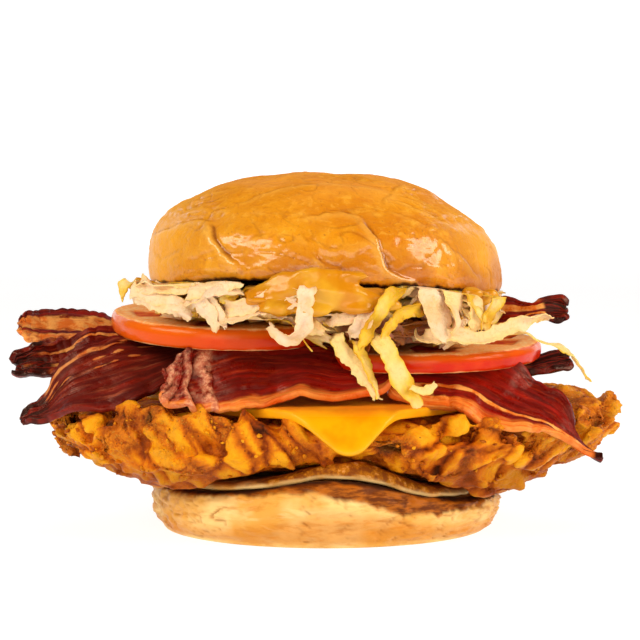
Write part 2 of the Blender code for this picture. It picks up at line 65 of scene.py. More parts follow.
def ease(value):
    t = min(max(value, 0.0), 1.0)
    return t * t * (3 - 2 * t)


def gauss(value, width):
    return math.exp(-((value / width) ** 2))


def along(points, share):
    # the place at a share, from 0 to 1, of a smooth curve through the points
    last = len(points) - 1
    place = min(max(share, 0.0), 1.0) * last
    i = min(int(place), last - 1)
    t = place - i
    before, start, end, after = (points[min(max(i + k, 0), last)] for k in (-1, 0, 1, 2))
    return [
        0.5 * (2 * b + (c - a) * t + (2 * a - 5 * b + 4 * c - d) * t**2 + (3 * b - a - 3 * c + d) * t**3)
        for a, b, c, d in zip(before, start, end, after)
    ]


def evenLine(points, spacing):
    # points evenly spaced on a smooth line through the given ones
    parts = 3000
    fine = [Vector(along(points, k / parts)) for k in range(parts + 1)]
    line = [fine[0]]
    for point in fine[1:-1]:
        if (point - line[-1]).length >= spacing:
            line.append(point)
    return line + [fine[-1]]


def pillow(point, size):
    # round lumps that meet in narrow creases, 0 in a crease and 1 on a lump
    warped = point + 0.3 * size * noise.noise_vector(point / size * 0.9)
    near, second = noise.voronoi(warped / size)[0][:2]
    return math.sin(min((second - near) / 0.7, 1) * math.pi / 2)


def patch(point, size):
    return noise.noise(point / size)


def spun(profile, steps):
    # a closed solid turned from (radius, height) points
    bm = bmesh.new()
    verts = [bm.verts.new((r, 0, z)) for r, z in profile]
    edges = [bm.edges.new(pair) for pair in zip(verts, verts[1:])]
    bmesh.ops.spin(bm, geom=verts + edges, cent=(0, 0, 0), axis=(0, 0, 1), angle=math.tau,
                   steps=steps, use_merge=True)
    bmesh.ops.remove_doubles(bm, verts=bm.verts, dist=0.0005)
    bmesh.ops.recalc_face_normals(bm, faces=bm.faces)
    return bm


def cadCopy(name):
    # a merged copy of a CAD node, in millimetres
    bm = bmesh.new()
    bm.from_mesh(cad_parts[name].data)
    bmesh.ops.scale(bm, vec=(1 / mm,) * 3, verts=bm.verts)
    bmesh.ops.remove_doubles(bm, verts=bm.verts, dist=0.001)
    return bm


def paintLayers(bm, *names):
    # a value at each vertex under each name, for a finish to read with painted()
    return [bm.verts.layers.float.new(name) for name in names]


def camelName(node):
    first, *others = node.split("_")
    return first + "".join(word.capitalize() for word in others)


def addModifiers(piece, modifiers):
    for kind, settings in modifiers:
        modifier = piece.modifiers.new(kind, kind)
        for key, value in settings.items():
            setattr(modifier, key, value)


def evaluated(bm, modifiers):
    # the mesh after these modifiers, as a new bmesh
    mesh = bpy.data.meshes.new("work")
    bm.to_mesh(mesh)
    bm.free()
    work = bpy.data.objects.new("work", mesh)
    scene.collection.objects.link(work)
    addModifiers(work, modifiers)
    graph = bpy.context.evaluated_depsgraph_get()
    result = bmesh.new()
    result.from_mesh(bpy.data.meshes.new_from_object(work.evaluated_get(graph)))
    bpy.data.objects.remove(work)
    return result


def finishPiece(name, bm, material, node, modifiers=(), crisp=None):
    # crisp is the angle in degrees past which an edge stays sharp
    bmesh.ops.scale(bm, vec=(mm,) * 3, verts=bm.verts)
    mesh = bpy.data.meshes.new(name)
    bm.to_mesh(mesh)
    bm.free()
    piece = bpy.data.objects.new(name, mesh)
    scene.collection.objects.link(piece)
    mesh.materials.append(material)
    mesh.shade_smooth()
    if crisp:
        mesh.set_sharp_from_angle(angle=math.radians(crisp))
    addModifiers(piece, modifiers)
    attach(piece, "root")
    if node:
        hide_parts(node)
    return piece


smoothOnce = ("SUBSURF", {"levels": 1, "render_levels": 1})


cadTrees = {}
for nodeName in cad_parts:
    nodeCopy = cadCopy(nodeName)
    cadTrees[nodeName] = BVHTree.FromBMesh(nodeCopy)
    nodeCopy.free()


def topOf(names, x, y, start=300.0):
    # the highest point of these nodes above a place
    hits = [cadTrees[name].ray_cast(Vector((x, y, start)), Vector((0, 0, -1)))[0] for name in names]
    return max((hit.z for hit in hits if hit), default=0.0)


def roofOf(names, x, y, start, missing=200.0):
    # the lowest point of these nodes above a height
    hits = [cadTrees[name].ray_cast(Vector((x, y, start)), Vector((0, 0, 1)))[0] for name in names]
    return min((hit.z for hit in hits if hit), default=missing)


def roundAbout(x, y, reach, count=8):
    # a place and two rings of places round it
    points = [(x, y)]
    for radius in (reach / 2, reach):
        for k in range(count):
            turn = math.tau * k / count
            points.append((x + radius * math.cos(turn), y + radius * math.sin(turn)))
    return points


# Shader helpers

def tone(red, green, blue):
    # a screen colour, 0 to 255, as linear light
    def linear(value):
        share = value / 255
        return share / 12.92 if share < 0.04045 else ((share + 0.055) / 1.055) ** 2.4
    return (linear(red), linear(green), linear(blue), 1)


class Wire:
    # an output socket that takes part in sums
    def __init__(self, finish, socket):
        self.finish = finish
        self.socket = socket

    def __add__(self, other):
        return self.finish.maths("ADD", self, other)

    def __sub__(self, other):
        return self.finish.maths("SUBTRACT", self, other)

    def __rsub__(self, other):
        return self.finish.maths("SUBTRACT", other, self)

    def __mul__(self, other):
        return self.finish.maths("MULTIPLY", self, other)

    __radd__ = __add__
    __rmul__ = __mul__


class Finish:
    # one material, with a method for each kind of node that it needs often
    def __init__(self, name, **constants):
        self.material = bpy.data.materials.new(name)
        self.material.use_nodes = True
        self.tree = self.material.node_tree
        self.shader = self.tree.nodes["Principled BSDF"]
        for key, value in constants.items():
            self.shader.inputs[key.replace("_", " ")].default_value = value
        self.place = self.node("TexCoord", {}, {}, "Object")

    def feed(self, socket, value):
        if isinstance(value, Wire):
            self.tree.links.new(value.socket, socket)
        else:
            socket.default_value = value

    def node(self, kind, settings, sockets, out=0):
        made = self.tree.nodes.new("ShaderNode" + kind)
        for key, value in settings.items():
            if key == "stops":
                ramp = made.color_ramp
                while len(ramp.elements) < len(value):
                    ramp.elements.new(0.5)
                for element, (position, colour) in zip(ramp.elements, value):
                    element.position = position
                    element.color = colour
            else:
                setattr(made, key, value)
        for key, value in sockets.items():
            self.feed(made.inputs[key], value)
        return Wire(self, made.outputs[out])

    def maths(self, operation, *values):
        return self.node("Math", {"operation": operation}, dict(enumerate(values)))

    def grain(self, size, detail=4, rough=0.55, vector=None, bend=0.0):
        sockets = {"Vector": vector or self.place, "Scale": 1 / (size * mm), "Detail": detail,
                   "Roughness": rough, "Distortion": bend}
        return self.node("TexNoise", {}, sockets, "Fac")

    def cells(self, size):
        return self.node("TexVoronoi", {}, {"Vector": self.place, "Scale": 1 / (size * mm)}, "Distance")

    def painted(self, name):
        return self.node("Attribute", {"attribute_name": name}, {}, "Fac")

    def band(self, value, low, high):
        # 0 below low and 1 above high
        return self.node("MapRange", {"interpolation_type": "SMOOTHSTEP"}, {0: value, 1: low, 2: high})

    def ramp(self, value, stops):
        return self.node("ValToRGB", {"stops": stops}, {"Fac": value}, "Color")

    def mix(self, share, first, second):
        return self.node("Mix", {"data_type": "RGBA"}, {0: share, 6: first, 7: second}, 2)

    def stretch(self, vector, scale):
        return self.node("Mapping", {}, {"Vector": vector, "Scale": scale}, "Vector")

    def gloss(self, roughness, low=0.7, high=0.95):
        # duller where the surface lies level, in the shade of the layer above
        normal = self.node("TexCoord", {}, {}, "Normal")
        up = self.node("SeparateXYZ", {}, {"Vector": normal}, "Z")
        return self.maths("MAXIMUM", roughness, self.band(up, low, high) * 0.95)

    def relief(self, height, depth, strength=1.0):
        self.feed(self.shader.inputs["Normal"], self.node(
            "Bump", {}, {"Height": height, "Distance": depth * mm, "Strength": strength}, "Normal"))

    def look(self, **wires):
        for key, value in wires.items():
            self.feed(self.shader.inputs[key.replace("_", " ")], value)
        return self.material


# Camera, floor and lights

def setStudio():
    camera = bpy.data.objects.new("camera", bpy.data.cameras.new("camera"))
    camera.location = viewPlan["place"]
    camera.rotation_euler = (math.radians(90 - viewPlan["lookDown"]), 0, 0)
    camera.data.sensor_width = 36
    camera.data.lens = viewPlan["lens"]
    camera.data.clip_start = 0.05
    scene.collection.objects.link(camera)
    scene.camera = camera
    scene.view_settings.view_transform = "Standard"
    world = bpy.data.worlds.new("studio")
    world.use_nodes = True
    world.node_tree.nodes["Background"].inputs["Color"].default_value = studioPlan["worldTint"]
    world.node_tree.nodes["Background"].inputs["Strength"].default_value = studioPlan["world"]
    scene.world = world
    for name, (place, aim, size, watts) in studioPlan["softBoxes"].items():
        lamp = bpy.data.lights.new(name, "AREA")
        lamp.energy = watts
        lamp.color = studioPlan["lampTint"]
        lamp.shape = "RECTANGLE"
        lamp.size, lamp.size_y = size
        box = bpy.data.objects.new(name, lamp)
        box.location = place
        box.rotation_euler = (Vector(aim) - Vector(place)).to_track_quat("-Z", "Y").to_euler()
        scene.collection.objects.link(box)
    for name in ("floor", "backdrop"):
        paper = Finish(name + "Paper", Roughness=0.9, Specular_IOR_Level=0.0,
                       Emission_Strength=studioPlan[name + "Glow"])
        shade = paper.grain(400, 2)
        paper.look(Base_Color=paper.mix(shade, (0.26, 0.26, 0.26, 1), (0.3, 0.3, 0.3, 1)),
                   Emission_Color=paper.mix(shade, (0.99, 0.99, 0.99, 1), (1, 1, 1, 1)))
        sheet = bmesh.new()
        reach = studioPlan["sheetSize"]
        bmesh.ops.create_grid(sheet, x_segments=2, y_segments=2, size=reach)
        if name == "backdrop":
            upright = Matrix.Rotation(math.pi / 2, 3, "X")
            bmesh.ops.rotate(sheet, cent=(0, 0, 0), matrix=upright, verts=sheet.verts)
            bmesh.ops.translate(sheet, vec=(0, reach, reach), verts=sheet.verts)
        mesh = bpy.data.meshes.new(name)
        sheet.to_mesh(mesh)
        sheet.free()
        stand = bpy.data.objects.new(name, mesh)
        scene.collection.objects.link(stand)
        mesh.materials.append(paper.material)


setStudio()
print("studio: camera, floor and lights")

# Upper bun half

crownPlan = {
    "radius": 54.4, "height": 32.5, "base": 76.5, "tilt": 0.02, "steps": 520, "spacing": 0.5,
    # height and reach of the dome's outline, from the top down, as shares
    "outline": [(1, 0), (0.988, 0.2), (0.95, 0.4), (0.88, 0.57), (0.8, 0.67), (0.72, 0.75), (0.65, 0.815),
                (0.58, 0.87), (0.51, 0.918), (0.44, 0.95), (0.36, 0.972), (0.26, 0.988)],
    # how far the rim hangs down at the left and at the right, in mm
    "droop": (2.0, 3.0),
    # creases: (turn in degrees from the right, height share) points; depth, half width and step in mm
    "creases": [
        ([(229, 0.53), (234, 0.41), (239, 0.25), (243, 0.15), (245, 0.05)], 0.9, 0.5, 0.75),
        ([(190, 0.40), (199, 0.42), (211, 0.49), (223, 0.54), (231, 0.53)], 0.45, 0.4, 0.5),
        ([(232, 0.67), (240, 0.78), (250, 0.85), (270, 0.89), (291, 0.88), (305, 0.84)], 0.25, 0.5, 0.35),
        ([(260, 0.59), (272, 0.63), (280, 0.63), (286, 0.58)], 0.3, 0.5, 0.45),
        ([(284, 0.60), (287, 0.44), (289, 0.28), (291, 0.14), (298, 0.06), (308, 0.02)], 1.0, 0.55, 1.0),
        ([(295, 0.73), (306, 0.83), (325, 0.91)], 0.3, 0.4, 0.3),
        ([(302, 0.76), (308, 0.69), (314, 0.60), (322, 0.52)], 0.35, 0.4, 0.35),
        ([(308, 0.80), (315, 0.72), (322, 0.64)], 0.2, 0.4, 0.25),
        ([(296, 0.66), (302, 0.60), (307, 0.52)], 0.2, 0.4, 0.25),
        ([(313, 0.84), (320, 0.76), (327, 0.69)], 0.2, 0.4, 0.25),
        ([(267, 0.27), (270, 0.21), (272, 0.11)], 0.8, 0.4, 0.5),
        ([(193, 0.67), (205, 0.76), (221, 0.84)], 0.25, 0.5, 0.3),
        ([(311, 0.41), (317, 0.32), (323, 0.21), (329, 0.09)], 0.25, 0.4, 0.35),
        ([(262, 0.46), (265, 0.38)], 0.2, 0.4, 0.3),
        ([(236, 0.30), (228, 0.22), (222, 0.18)], 0.2, 0.4, 0.25),
        ([(288, 0.36), (281, 0.30), (278, 0.22)], 0.2, 0.4, 0.25),
        ([(196, 0.30), (206, 0.22), (220, 0.30)], 0.15, 0.4, 0.25),
        ([(208, 0.62), (216, 0.66), (226, 0.62)], 0.15, 0.4, 0.25),
        ([(300, 0.30), (305, 0.22), (312, 0.18)], 0.15, 0.4, 0.25),
        ([(40, 0.75), (62, 0.45), (80, 0.12)], 0.9, 0.5, 0.6),
        ([(110, 0.15), (128, 0.50), (160, 0.62)], 0.8, 0.5, 0.6),
        ([(96, 0.62), (112, 0.72), (140, 0.78)], 0.4, 0.5, 0.35),
        ([(350, 0.62), (8, 0.50), (22, 0.30), (30, 0.10)], 0.5, 0.5, 0.45),
    ],
    # swellings between creases: turn, height share, reach and height in mm
    "swells": [(205, 0.82, 14, 0.5), (245, 0.35, 16, 0.6), (302, 0.45, 16, 1.0),
               (318, 0.35, 12, 0.7), (265, 0.75, 14, 0.5), (200, 0.25, 12, 0.5), (348, 0.62, 11, -1.3),
               (10, 0.62, 11, -1.3), (186, 0.56, 12, 1.5),
               (278, 0.22, 13, -0.8), (222, 0.42, 12, 0.5)],
    # how far the dome leans to the left: at its rim and halfway up, in mm
    "lean": (0.6, 0.1),
    # points along a crease, and the shift between the coarse and the fine wrinkles
    "creaseSteps": 80, "apart": Vector((31, 17, 5)),
}


def glazedCrust():
    crust = Finish("glazedCrust", Specular_IOR_Level=0.2, Specular_Tint=(1, 0.82, 0.6, 1), Coat_Roughness=0.16)
    broad = crust.band(crust.grain(20, 4, 0.55), 0.36, 0.64)
    small = crust.grain(5, 5, 0.6)
    fine = crust.grain(0.7, 3, 0.6)
    creased = crust.grain(3.2, 4, 0.55, bend=1.2)
    split = crust.node("SeparateXYZ", {}, {"Vector": crust.place}, "X")
    leftward = crust.band(split, 0.03, -0.05)
    outer = crust.maths("ABSOLUTE", split)
    colour = crust.mix(broad, tone(210, 126, 4), tone(226, 148, 10))
    colour = crust.mix(leftward * 0.5, colour, tone(234, 160, 20))
    colour = crust.mix(crust.band(small, 0.5, 0.72) * 0.45, colour, tone(242, 176, 48))
    colour = crust.mix(crust.band(creased, 0.54, 0.7) * 0.35, colour, tone(246, 186, 66))
    colour = crust.mix(crust.band(creased, 0.46, 0.32) * 0.4, colour, tone(198, 108, 2))
    # painted light: the far left and right of the dome painted lighter
    colour = crust.mix(crust.band(outer, 0.03, 0.05) * 0.7, colour, tone(244, 174, 50))
    colour = crust.mix(crust.band(fine, 0.5, 0.75) * 0.25, colour, tone(184, 92, 2))
    # painted shade: the lower part of the dome's sides painted darker
    colour = crust.mix(crust.painted("low") * 0.65, colour, tone(172, 84, 0))
    # painted sheen: patches on the top of the dome painted paler and pinker
    colour = crust.mix(crust.painted("blush") * 0.5, colour, tone(230, 152, 60))
    # painted shade: the creases and the fine wrinkle lines painted dark brown
    colour = crust.mix(crust.painted("groove") * 0.9, colour, tone(128, 50, 0))
    # painted highlight: the lifted lips beside the creases painted lighter
    colour = crust.mix(crust.painted("lip") * 0.35, colour, tone(246, 190, 84))
    # small pores, dented by the relief and painted darker as shade
    pores = crust.band(crust.cells(1.5), 0.16, 0.08) * crust.band(crust.grain(11, 2), 0.5, 0.6)
    colour = crust.mix(pores * 0.5, colour, tone(176, 90, 6))
    specks = crust.band(crust.cells(9), 0.045, 0.03)
    colour = crust.mix(specks * 0.8, colour, tone(70, 30, 4))
    colour = crust.mix(crust.painted("rim"), colour, tone(62, 24, 6))
    crust.relief(fine * 0.25 + small * 0.5 + creased * 0.7 + pores * -0.4, 0.6, 0.8)
    level = crust.gloss(crust.band(small, 0.3, 0.8) * 0.2 + 0.3, 0.45, 0.9)
    wet = crust.band(crust.grain(3.4, 4, 0.6), 0.34, 0.56) * 0.45 + 0.55
    wet = wet * crust.band(outer, 0.05, 0.034)
    return crust.look(Base_Color=colour, Roughness=level,
                      Coat_Weight=wet * (1 - crust.painted("rim")) * crust.band(level, 0.9, 0.5))


def droopAt(x):
    # how far the rim hangs down at the two sides
    left, right = crownPlan["droop"]
    return left * ease((-x - 26) / 28) + right * ease((x - 22) / 30)


def domePoint(turn, share):
    plan = crownPlan
    outline = plan["outline"] + [(0, 1)]
    k = next(k for k in range(1, len(outline)) if outline[k][0] <= min(share, 1))
    (high, near), (low, far) = outline[k - 1], outline[k]
    r = plan["radius"] * (far + (near - far) * (min(share, 1) - low) / (high - low))
    return Vector((r * math.cos(math.radians(turn)), r * math.sin(math.radians(turn)), plan["height"] * share))


def buildCrown(material):
    plan = crownPlan
    r, h = plan["radius"], plan["height"]
    dome = [(r * reach, h * share) for share, reach in plan["outline"]]
    rim = [(1.003 * r, 0.14 * h), (1.001 * r, 0.05 * h), (0.986 * r, 0.01 * h), (0.95 * r, 0)]
    profile = evenLine(dome + rim, plan["spacing"]) + evenLine([(0.95 * r, 0), (0.5 * r, 0), (0, 0)], 2.5)[1:]
    bm = spun(profile, plan["steps"])
    creases, last = [], plan["creaseSteps"]
    for points, depth, width, step in plan["creases"]:
        line, places = KDTree(last + 1), [domePoint(*along(points, k / last)) for k in range(last + 1)]
        for k, place in enumerate(places):
            line.insert(place, k)
        line.balance()
        creases.append((line, places, depth, width, step))
    swells = [(domePoint(turn, share), reach, height) for turn, share, reach, height in plan["swells"]]
    creaseShadeLayer, litLipLayer, rimLayer, topSheenLayer, lowLayer = paintLayers(bm, "groove", "lip", "rim", "blush", "low")
    for vert in bm.verts:
        p = vert.co.copy()
        turn = math.atan2(p.y, p.x)
        share = p.z / h
        out = Vector((p.x, p.y, p.z * 1.3)).normalized() if p.length else Vector((0, 0, 1))
        away = p + 0.9 * noise.noise_vector(p / 3.5)
        groove, lifted, folded = 0.0, 0.0, 0.0
        for line, places, depth, width, step in creases:
            _, k, apart = line.find(away)
            if apart < 14:
                taper = ease(min(k, last - k) / 20 + 0.2)
                onward = places[min(k + 1, last)] - places[max(k - 1, 0)]
                across = onward.cross(out).normalized().dot(away - places[k])
                groove = max(groove, depth * taper * gauss(apart, width))
                fold = step * taper * math.exp(-apart / 4.5)
                folded += fold * across / (abs(across) + 0.35)
                lifted = max(lifted, fold * ease(across / 0.8) * gauss(apart - 1.5, 1.2))
        side = ease(p.z / (0.1 * h))
        swell = sum(height * gauss((p - centre).length, reach) for centre, reach, height in swells)
        wrinkled = Vector((p.x * 0.8 + p.z * 0.5, p.y, p.z * 1.6))
        push = (swell + 0.8 * patch(p, 19) + 0.4 * patch(p, 8)) * side
        wrinkled += 1.5 * noise.noise_vector(p / 6)
        lines = ease(1 - abs(patch(wrinkled, 11)) / 0.045) * ease(0.5 + 2.5 * patch(p, 20))
        finer = ease(1 - abs(patch(wrinkled + plan["apart"], 6)) / 0.06) * ease(0.3 + 2.5 * patch(p, 13))
        lines = max(lines, 0.6 * finer)
        push += (0.2 * patch(wrinkled, 2.6) + 0.1 * patch(wrinkled, 1.3)) * ease(0.85 + patch(p, 9)) * side
        push -= 0.34 * lines * side
        push += (folded - groove) * ease(p.z / 1.2)
        wobble = 1 + 0.010 * math.sin(3 * turn + 2) + 0.007 * math.sin(5 * turn + 0.4)
        wobble += 0.012 * math.sin(2 * turn + 1) * share
        ragged = 0.3 * patch(Vector((p.x, p.y, 9)), 1.3) + 0.5 * patch(Vector((p.x, p.y, 9)), 5)
        edge = gauss(p.z, 1.5) * ease((math.hypot(p.x, p.y) - 44) / 6)
        p = Vector((p.x * wobble, p.y * wobble, p.z)) + out * push
        p.z += edge * ragged + plan["base"] - plan["tilt"] * p.x
        p.z += (0.9 * gauss(p.x + 18, 14) - droopAt(p.x)) * ease(1 - share / 0.55)
        p.x -= plan["lean"][0] + plan["lean"][1] * math.sin(math.pi * min(share, 1))
        vert.co = p
        # how deep the creases and the wrinkle lines run, which the finish paints dark as shade
        vert[creaseShadeLayer] = min(groove / 0.9 + 0.4 * lines, 1)
        # the lifted lips beside the creases, which the finish paints lighter as a highlight
        vert[litLipLayer] = min(lifted / 0.4, 1)
        vert[rimLayer] = ease((1.25 + 1.3 * ragged - share * h) / 0.8)
        # darker towards the bottom of the dome, which the finish paints as shade
        vert[lowLayer] = ease((0.5 - share) / 0.4) * ease(0.75 + patch(p, 14)) * ease((p.x + 54) / 34)
        # patches on the top of the dome, which the finish paints paler as a sheen
        vert[topSheenLayer] = ease((share - 0.62) / 0.3) * ease(0.6 + 1.4 * patch(p, 12))
    return finishPiece("bunCrown", bm, material, "bun_crown")


buildCrown(glazedCrust())
print("upper bun half")

# Lower bun half and its sauce

heelPlan = {"radius": 54, "height": 13.5, "arch": 6.5, "slope": 0.035, "foot": 50, "steps": 420, "spacing": 0.5}


def heelTop(x, y):
    plan = heelPlan
    arch = plan["arch"] * gauss(x - 4, 27) * ease(-y / plan["radius"])
    return plan["height"] + arch - plan["slope"] * (x + 0.5 * abs(x))


def softCrust():
    crust = Finish("softCrust", Specular_IOR_Level=0.2, Specular_Tint=(1, 0.85, 0.65, 1))
    broad = crust.grain(14, 3, 0.5)
    lying = crust.stretch(crust.place, (0.35, 0.35, 1.5))
    lines = crust.grain(2.6, 5, 0.6, vector=lying)
    fine = crust.grain(0.8, 3, 0.6)
    colour = crust.mix(crust.band(broad, 0.38, 0.62), tone(234, 170, 74), tone(250, 208, 130))
    colour = crust.mix(crust.band(lines, 0.5, 0.72) * 0.6, colour, tone(212, 134, 44))
    glazed = crust.grain(4.5, 4, 0.6, vector=lying, bend=0.6)
    colour = crust.mix(crust.band(glazed, 0.54, 0.68) * 0.45, colour, tone(254, 222, 152))
    colour = crust.mix(crust.band(glazed, 0.46, 0.34) * 0.45, colour, tone(214, 134, 40))
    colour = crust.mix(crust.painted("low") * 0.6, colour, tone(206, 118, 14))
    # painted shade: the creases in the sides painted darker
    colour = crust.mix(crust.painted("fold") * 0.75, colour, tone(176, 98, 24))
    colour = crust.mix(crust.painted("toast"), colour, crust.mix(
        crust.band(lines, 0.4, 0.62), tone(104, 46, 4), tone(180, 98, 18)))
    colour = crust.mix(crust.painted("seam"), colour, tone(58, 24, 6))
    colour = crust.mix(crust.painted("crumb"), colour, crust.mix(
        crust.band(crust.grain(2.5, 4), 0.4, 0.65), tone(198, 128, 48), tone(240, 204, 140)))
    crust.relief(lines * 0.7 + fine * 0.3 + glazed * 0.6, 0.6, 0.7)
    return crust.look(Base_Color=colour, Roughness=crust.gloss(crust.band(broad, 0.3, 0.7) * 0.15 + 0.38))


def buildHeel(material):
    plan = heelPlan
    r, h = plan["radius"], plan["height"]
    side = [(0.9 * r, h), (0.955 * r, 0.985 * h), (0.99 * r, 0.9 * h), (r, 0.7 * h), (0.99 * r, 0.45 * h),
            (0.97 * r, 0.2 * h), (0.94 * r, 0.06 * h), (plan["foot"], 0)]
    profile = evenLine([(0, h), (0.3 * r, h), (0.6 * r, h), (0.9 * r, h)], 2.2)
    profile += evenLine(side, plan["spacing"])[1:] + evenLine([(plan["foot"], 0), (20, 0), (0, 0)], 3)[1:]
    bm = spun(profile, plan["steps"])
    toastLayer, lowLayer, crumbLayer, foldShadeLayer, seamLayer = paintLayers(bm, "toast", "low", "crumb", "fold", "seam")
    for vert in bm.verts:
        x, y, z = vert.co
        turn, reach, share = math.atan2(y, x), math.hypot(x, y), z / h
        circle = Vector((math.cos(turn), math.sin(turn), 0))
        wobble = 1 + share * (0.008 * math.sin(3 * turn + 1) + 0.006 * math.sin(7 * turn))
        face = ease((reach - 0.8 * r) / (0.1 * r)) * ease(share / 0.12)
        bent = circle * r + Vector((0, 0, z * 3.2)) + 4 * noise.noise_vector(circle * 5 + Vector((0, 0, z / 7)))
        crease = ease(1 - abs(patch(bent, 11)) / 0.08) * ease((share - 0.12) / 0.25)
        crease *= ease(0.55 + 2 * patch(circle * r, 15))
        finer = ease(1 - abs(patch(bent, 5.5)) / 0.1) * ease(0.2 + 2 * patch(circle * r, 9))
        crease = max(crease, 0.6 * finer)
        swell = 0.9 * noise.noise(circle * 4 + Vector((0, 0, z / 6))) + 0.8 * patch(bent, 5) + 0.3 * patch(bent, 2.2)
        arch = gauss(x - 20, 26) * ease(-y / r)
        band = 0.7 + 6.0 * arch + 1.3 * noise.noise(circle * 9) + 0.8 * noise.noise(circle * 30)
        top = heelTop(x, y)
        depth = (1 - share) * top
        wrinkle = patch(Vector((turn * r, z * 3.5, 5)), 4.5) * ease((band - depth) / 2)
        spread = wobble + face * (swell - 1.1 * crease + 0.6 * wrinkle) / r
        vert.co = (x * spread, y * spread, share * top)
        vert[toastLayer] = ease((band - depth) / 1.6 + 0.5) * ease((reach - 46) / 4)
        vert[lowLayer] = ease((0.45 + 0.25 * gauss(x - 10, 30) - share) / 0.35) * face
        vert[crumbLayer] = ease((share - 0.97) / 0.03) * ease((50 - reach) / 3)
        # the creases in the sides, which the finish paints darker as shade
        vert[foldShadeLayer] = crease * face
        vert[seamLayer] = ease((0.9 + 0.7 * noise.noise(circle * 14) - depth) / 0.8) * ease((reach - 47) / 3)
    return finishPiece("bunHeel", bm, material, "bun_heel")


def creamSauce():
    cream = Finish("creamSauce", Specular_IOR_Level=0.15)
    cloud = cream.band(cream.grain(13, 3, 0.5), 0.42, 0.62)
    fine = cream.grain(2, 4, 0.6)
    colour = cream.mix(cloud, tone(232, 192, 124), tone(216, 152, 66))
    # the upper sauce under the fillet: a mustard colour, darkened with painted shade
    colour = cream.mix(cream.painted("mustard"), colour, cream.mix(
        cream.band(fine, 0.4, 0.65), tone(132, 66, 2), tone(196, 120, 4)))
    colour = cream.mix(cream.band(fine, 0.55, 0.8) * 0.4, colour, tone(246, 222, 168))
    cream.relief(fine, 0.3, 0.4)
    return cream.look(Base_Color=colour, Roughness=cream.gloss(cream.painted("mustard") * 0.4 + 0.3))


heelSaucePlan = {"thickness": 1.9, "gap": 0.4, "steps": 320}


def buildHeelSauce(material):
    plan = heelSaucePlan
    t = plan["thickness"]
    profile = evenLine([(0, t), (20, t), (38, t), (47, t)], 1.5)
    profile += evenLine([(47, t), (49.4, 0.9 * t), (50.5, 0.5 * t), (49.8, 0.08 * t), (47, 0)], 0.3)[1:]
    profile += evenLine([(47, 0), (20, 0), (0, 0)], 3)[1:]
    bm = spun(profile, plan["steps"])
    mustardShadeLayer = bm.verts.layers.float.new("mustard")
    for vert in bm.verts:
        x, y, z = vert.co
        turn, reach = math.atan2(y, x), math.hypot(x, y)
        circle = Vector((math.cos(turn), math.sin(turn), 0))
        spread = 0.975 + 0.02 * math.sin(5 * turn) + 0.012 * math.sin(9 * turn + 2)
        spread += 0.06 * gauss(x - 6, 28) * ease(-y / heelPlan["radius"]) + 0.025 * noise.noise(circle * 9)
        edge = ease((reach - 36) / 10)
        x, y = x * spread, y * spread
        front = ease(-y / 40)
        drip = edge * front * (1.2 * gauss(x - 27, 6) + 0.7 * gauss(x + 12, 8))
        filled = edge * front * (3.2 * gauss(x - 9, 16) + 0.2)
        height = z * (1 + 0.3 * edge * patch(Vector((x, y, 0)), 5)) + z / t * filled
        vert.co = (x, y - 0.5 * drip, height + heelTop(x, y) + plan["gap"] - drip * (1 - z / t))
        # the upper sauce at the front, under the fillet, painted mustard and dark as shade
        filling = ease((height - 0.9 - 0.5 * noise.noise(circle * 12)) / 0.7)
        vert[mustardShadeLayer] = filling * ease((38 - abs(x - 8)) / 14) * front
    return finishPiece("heelSauce", bm, material, "heel_sauce")


buildHeel(softCrust())
buildHeelSauce(creamSauce())
print("lower bun half and its sauce")

# Fried chicken fillet

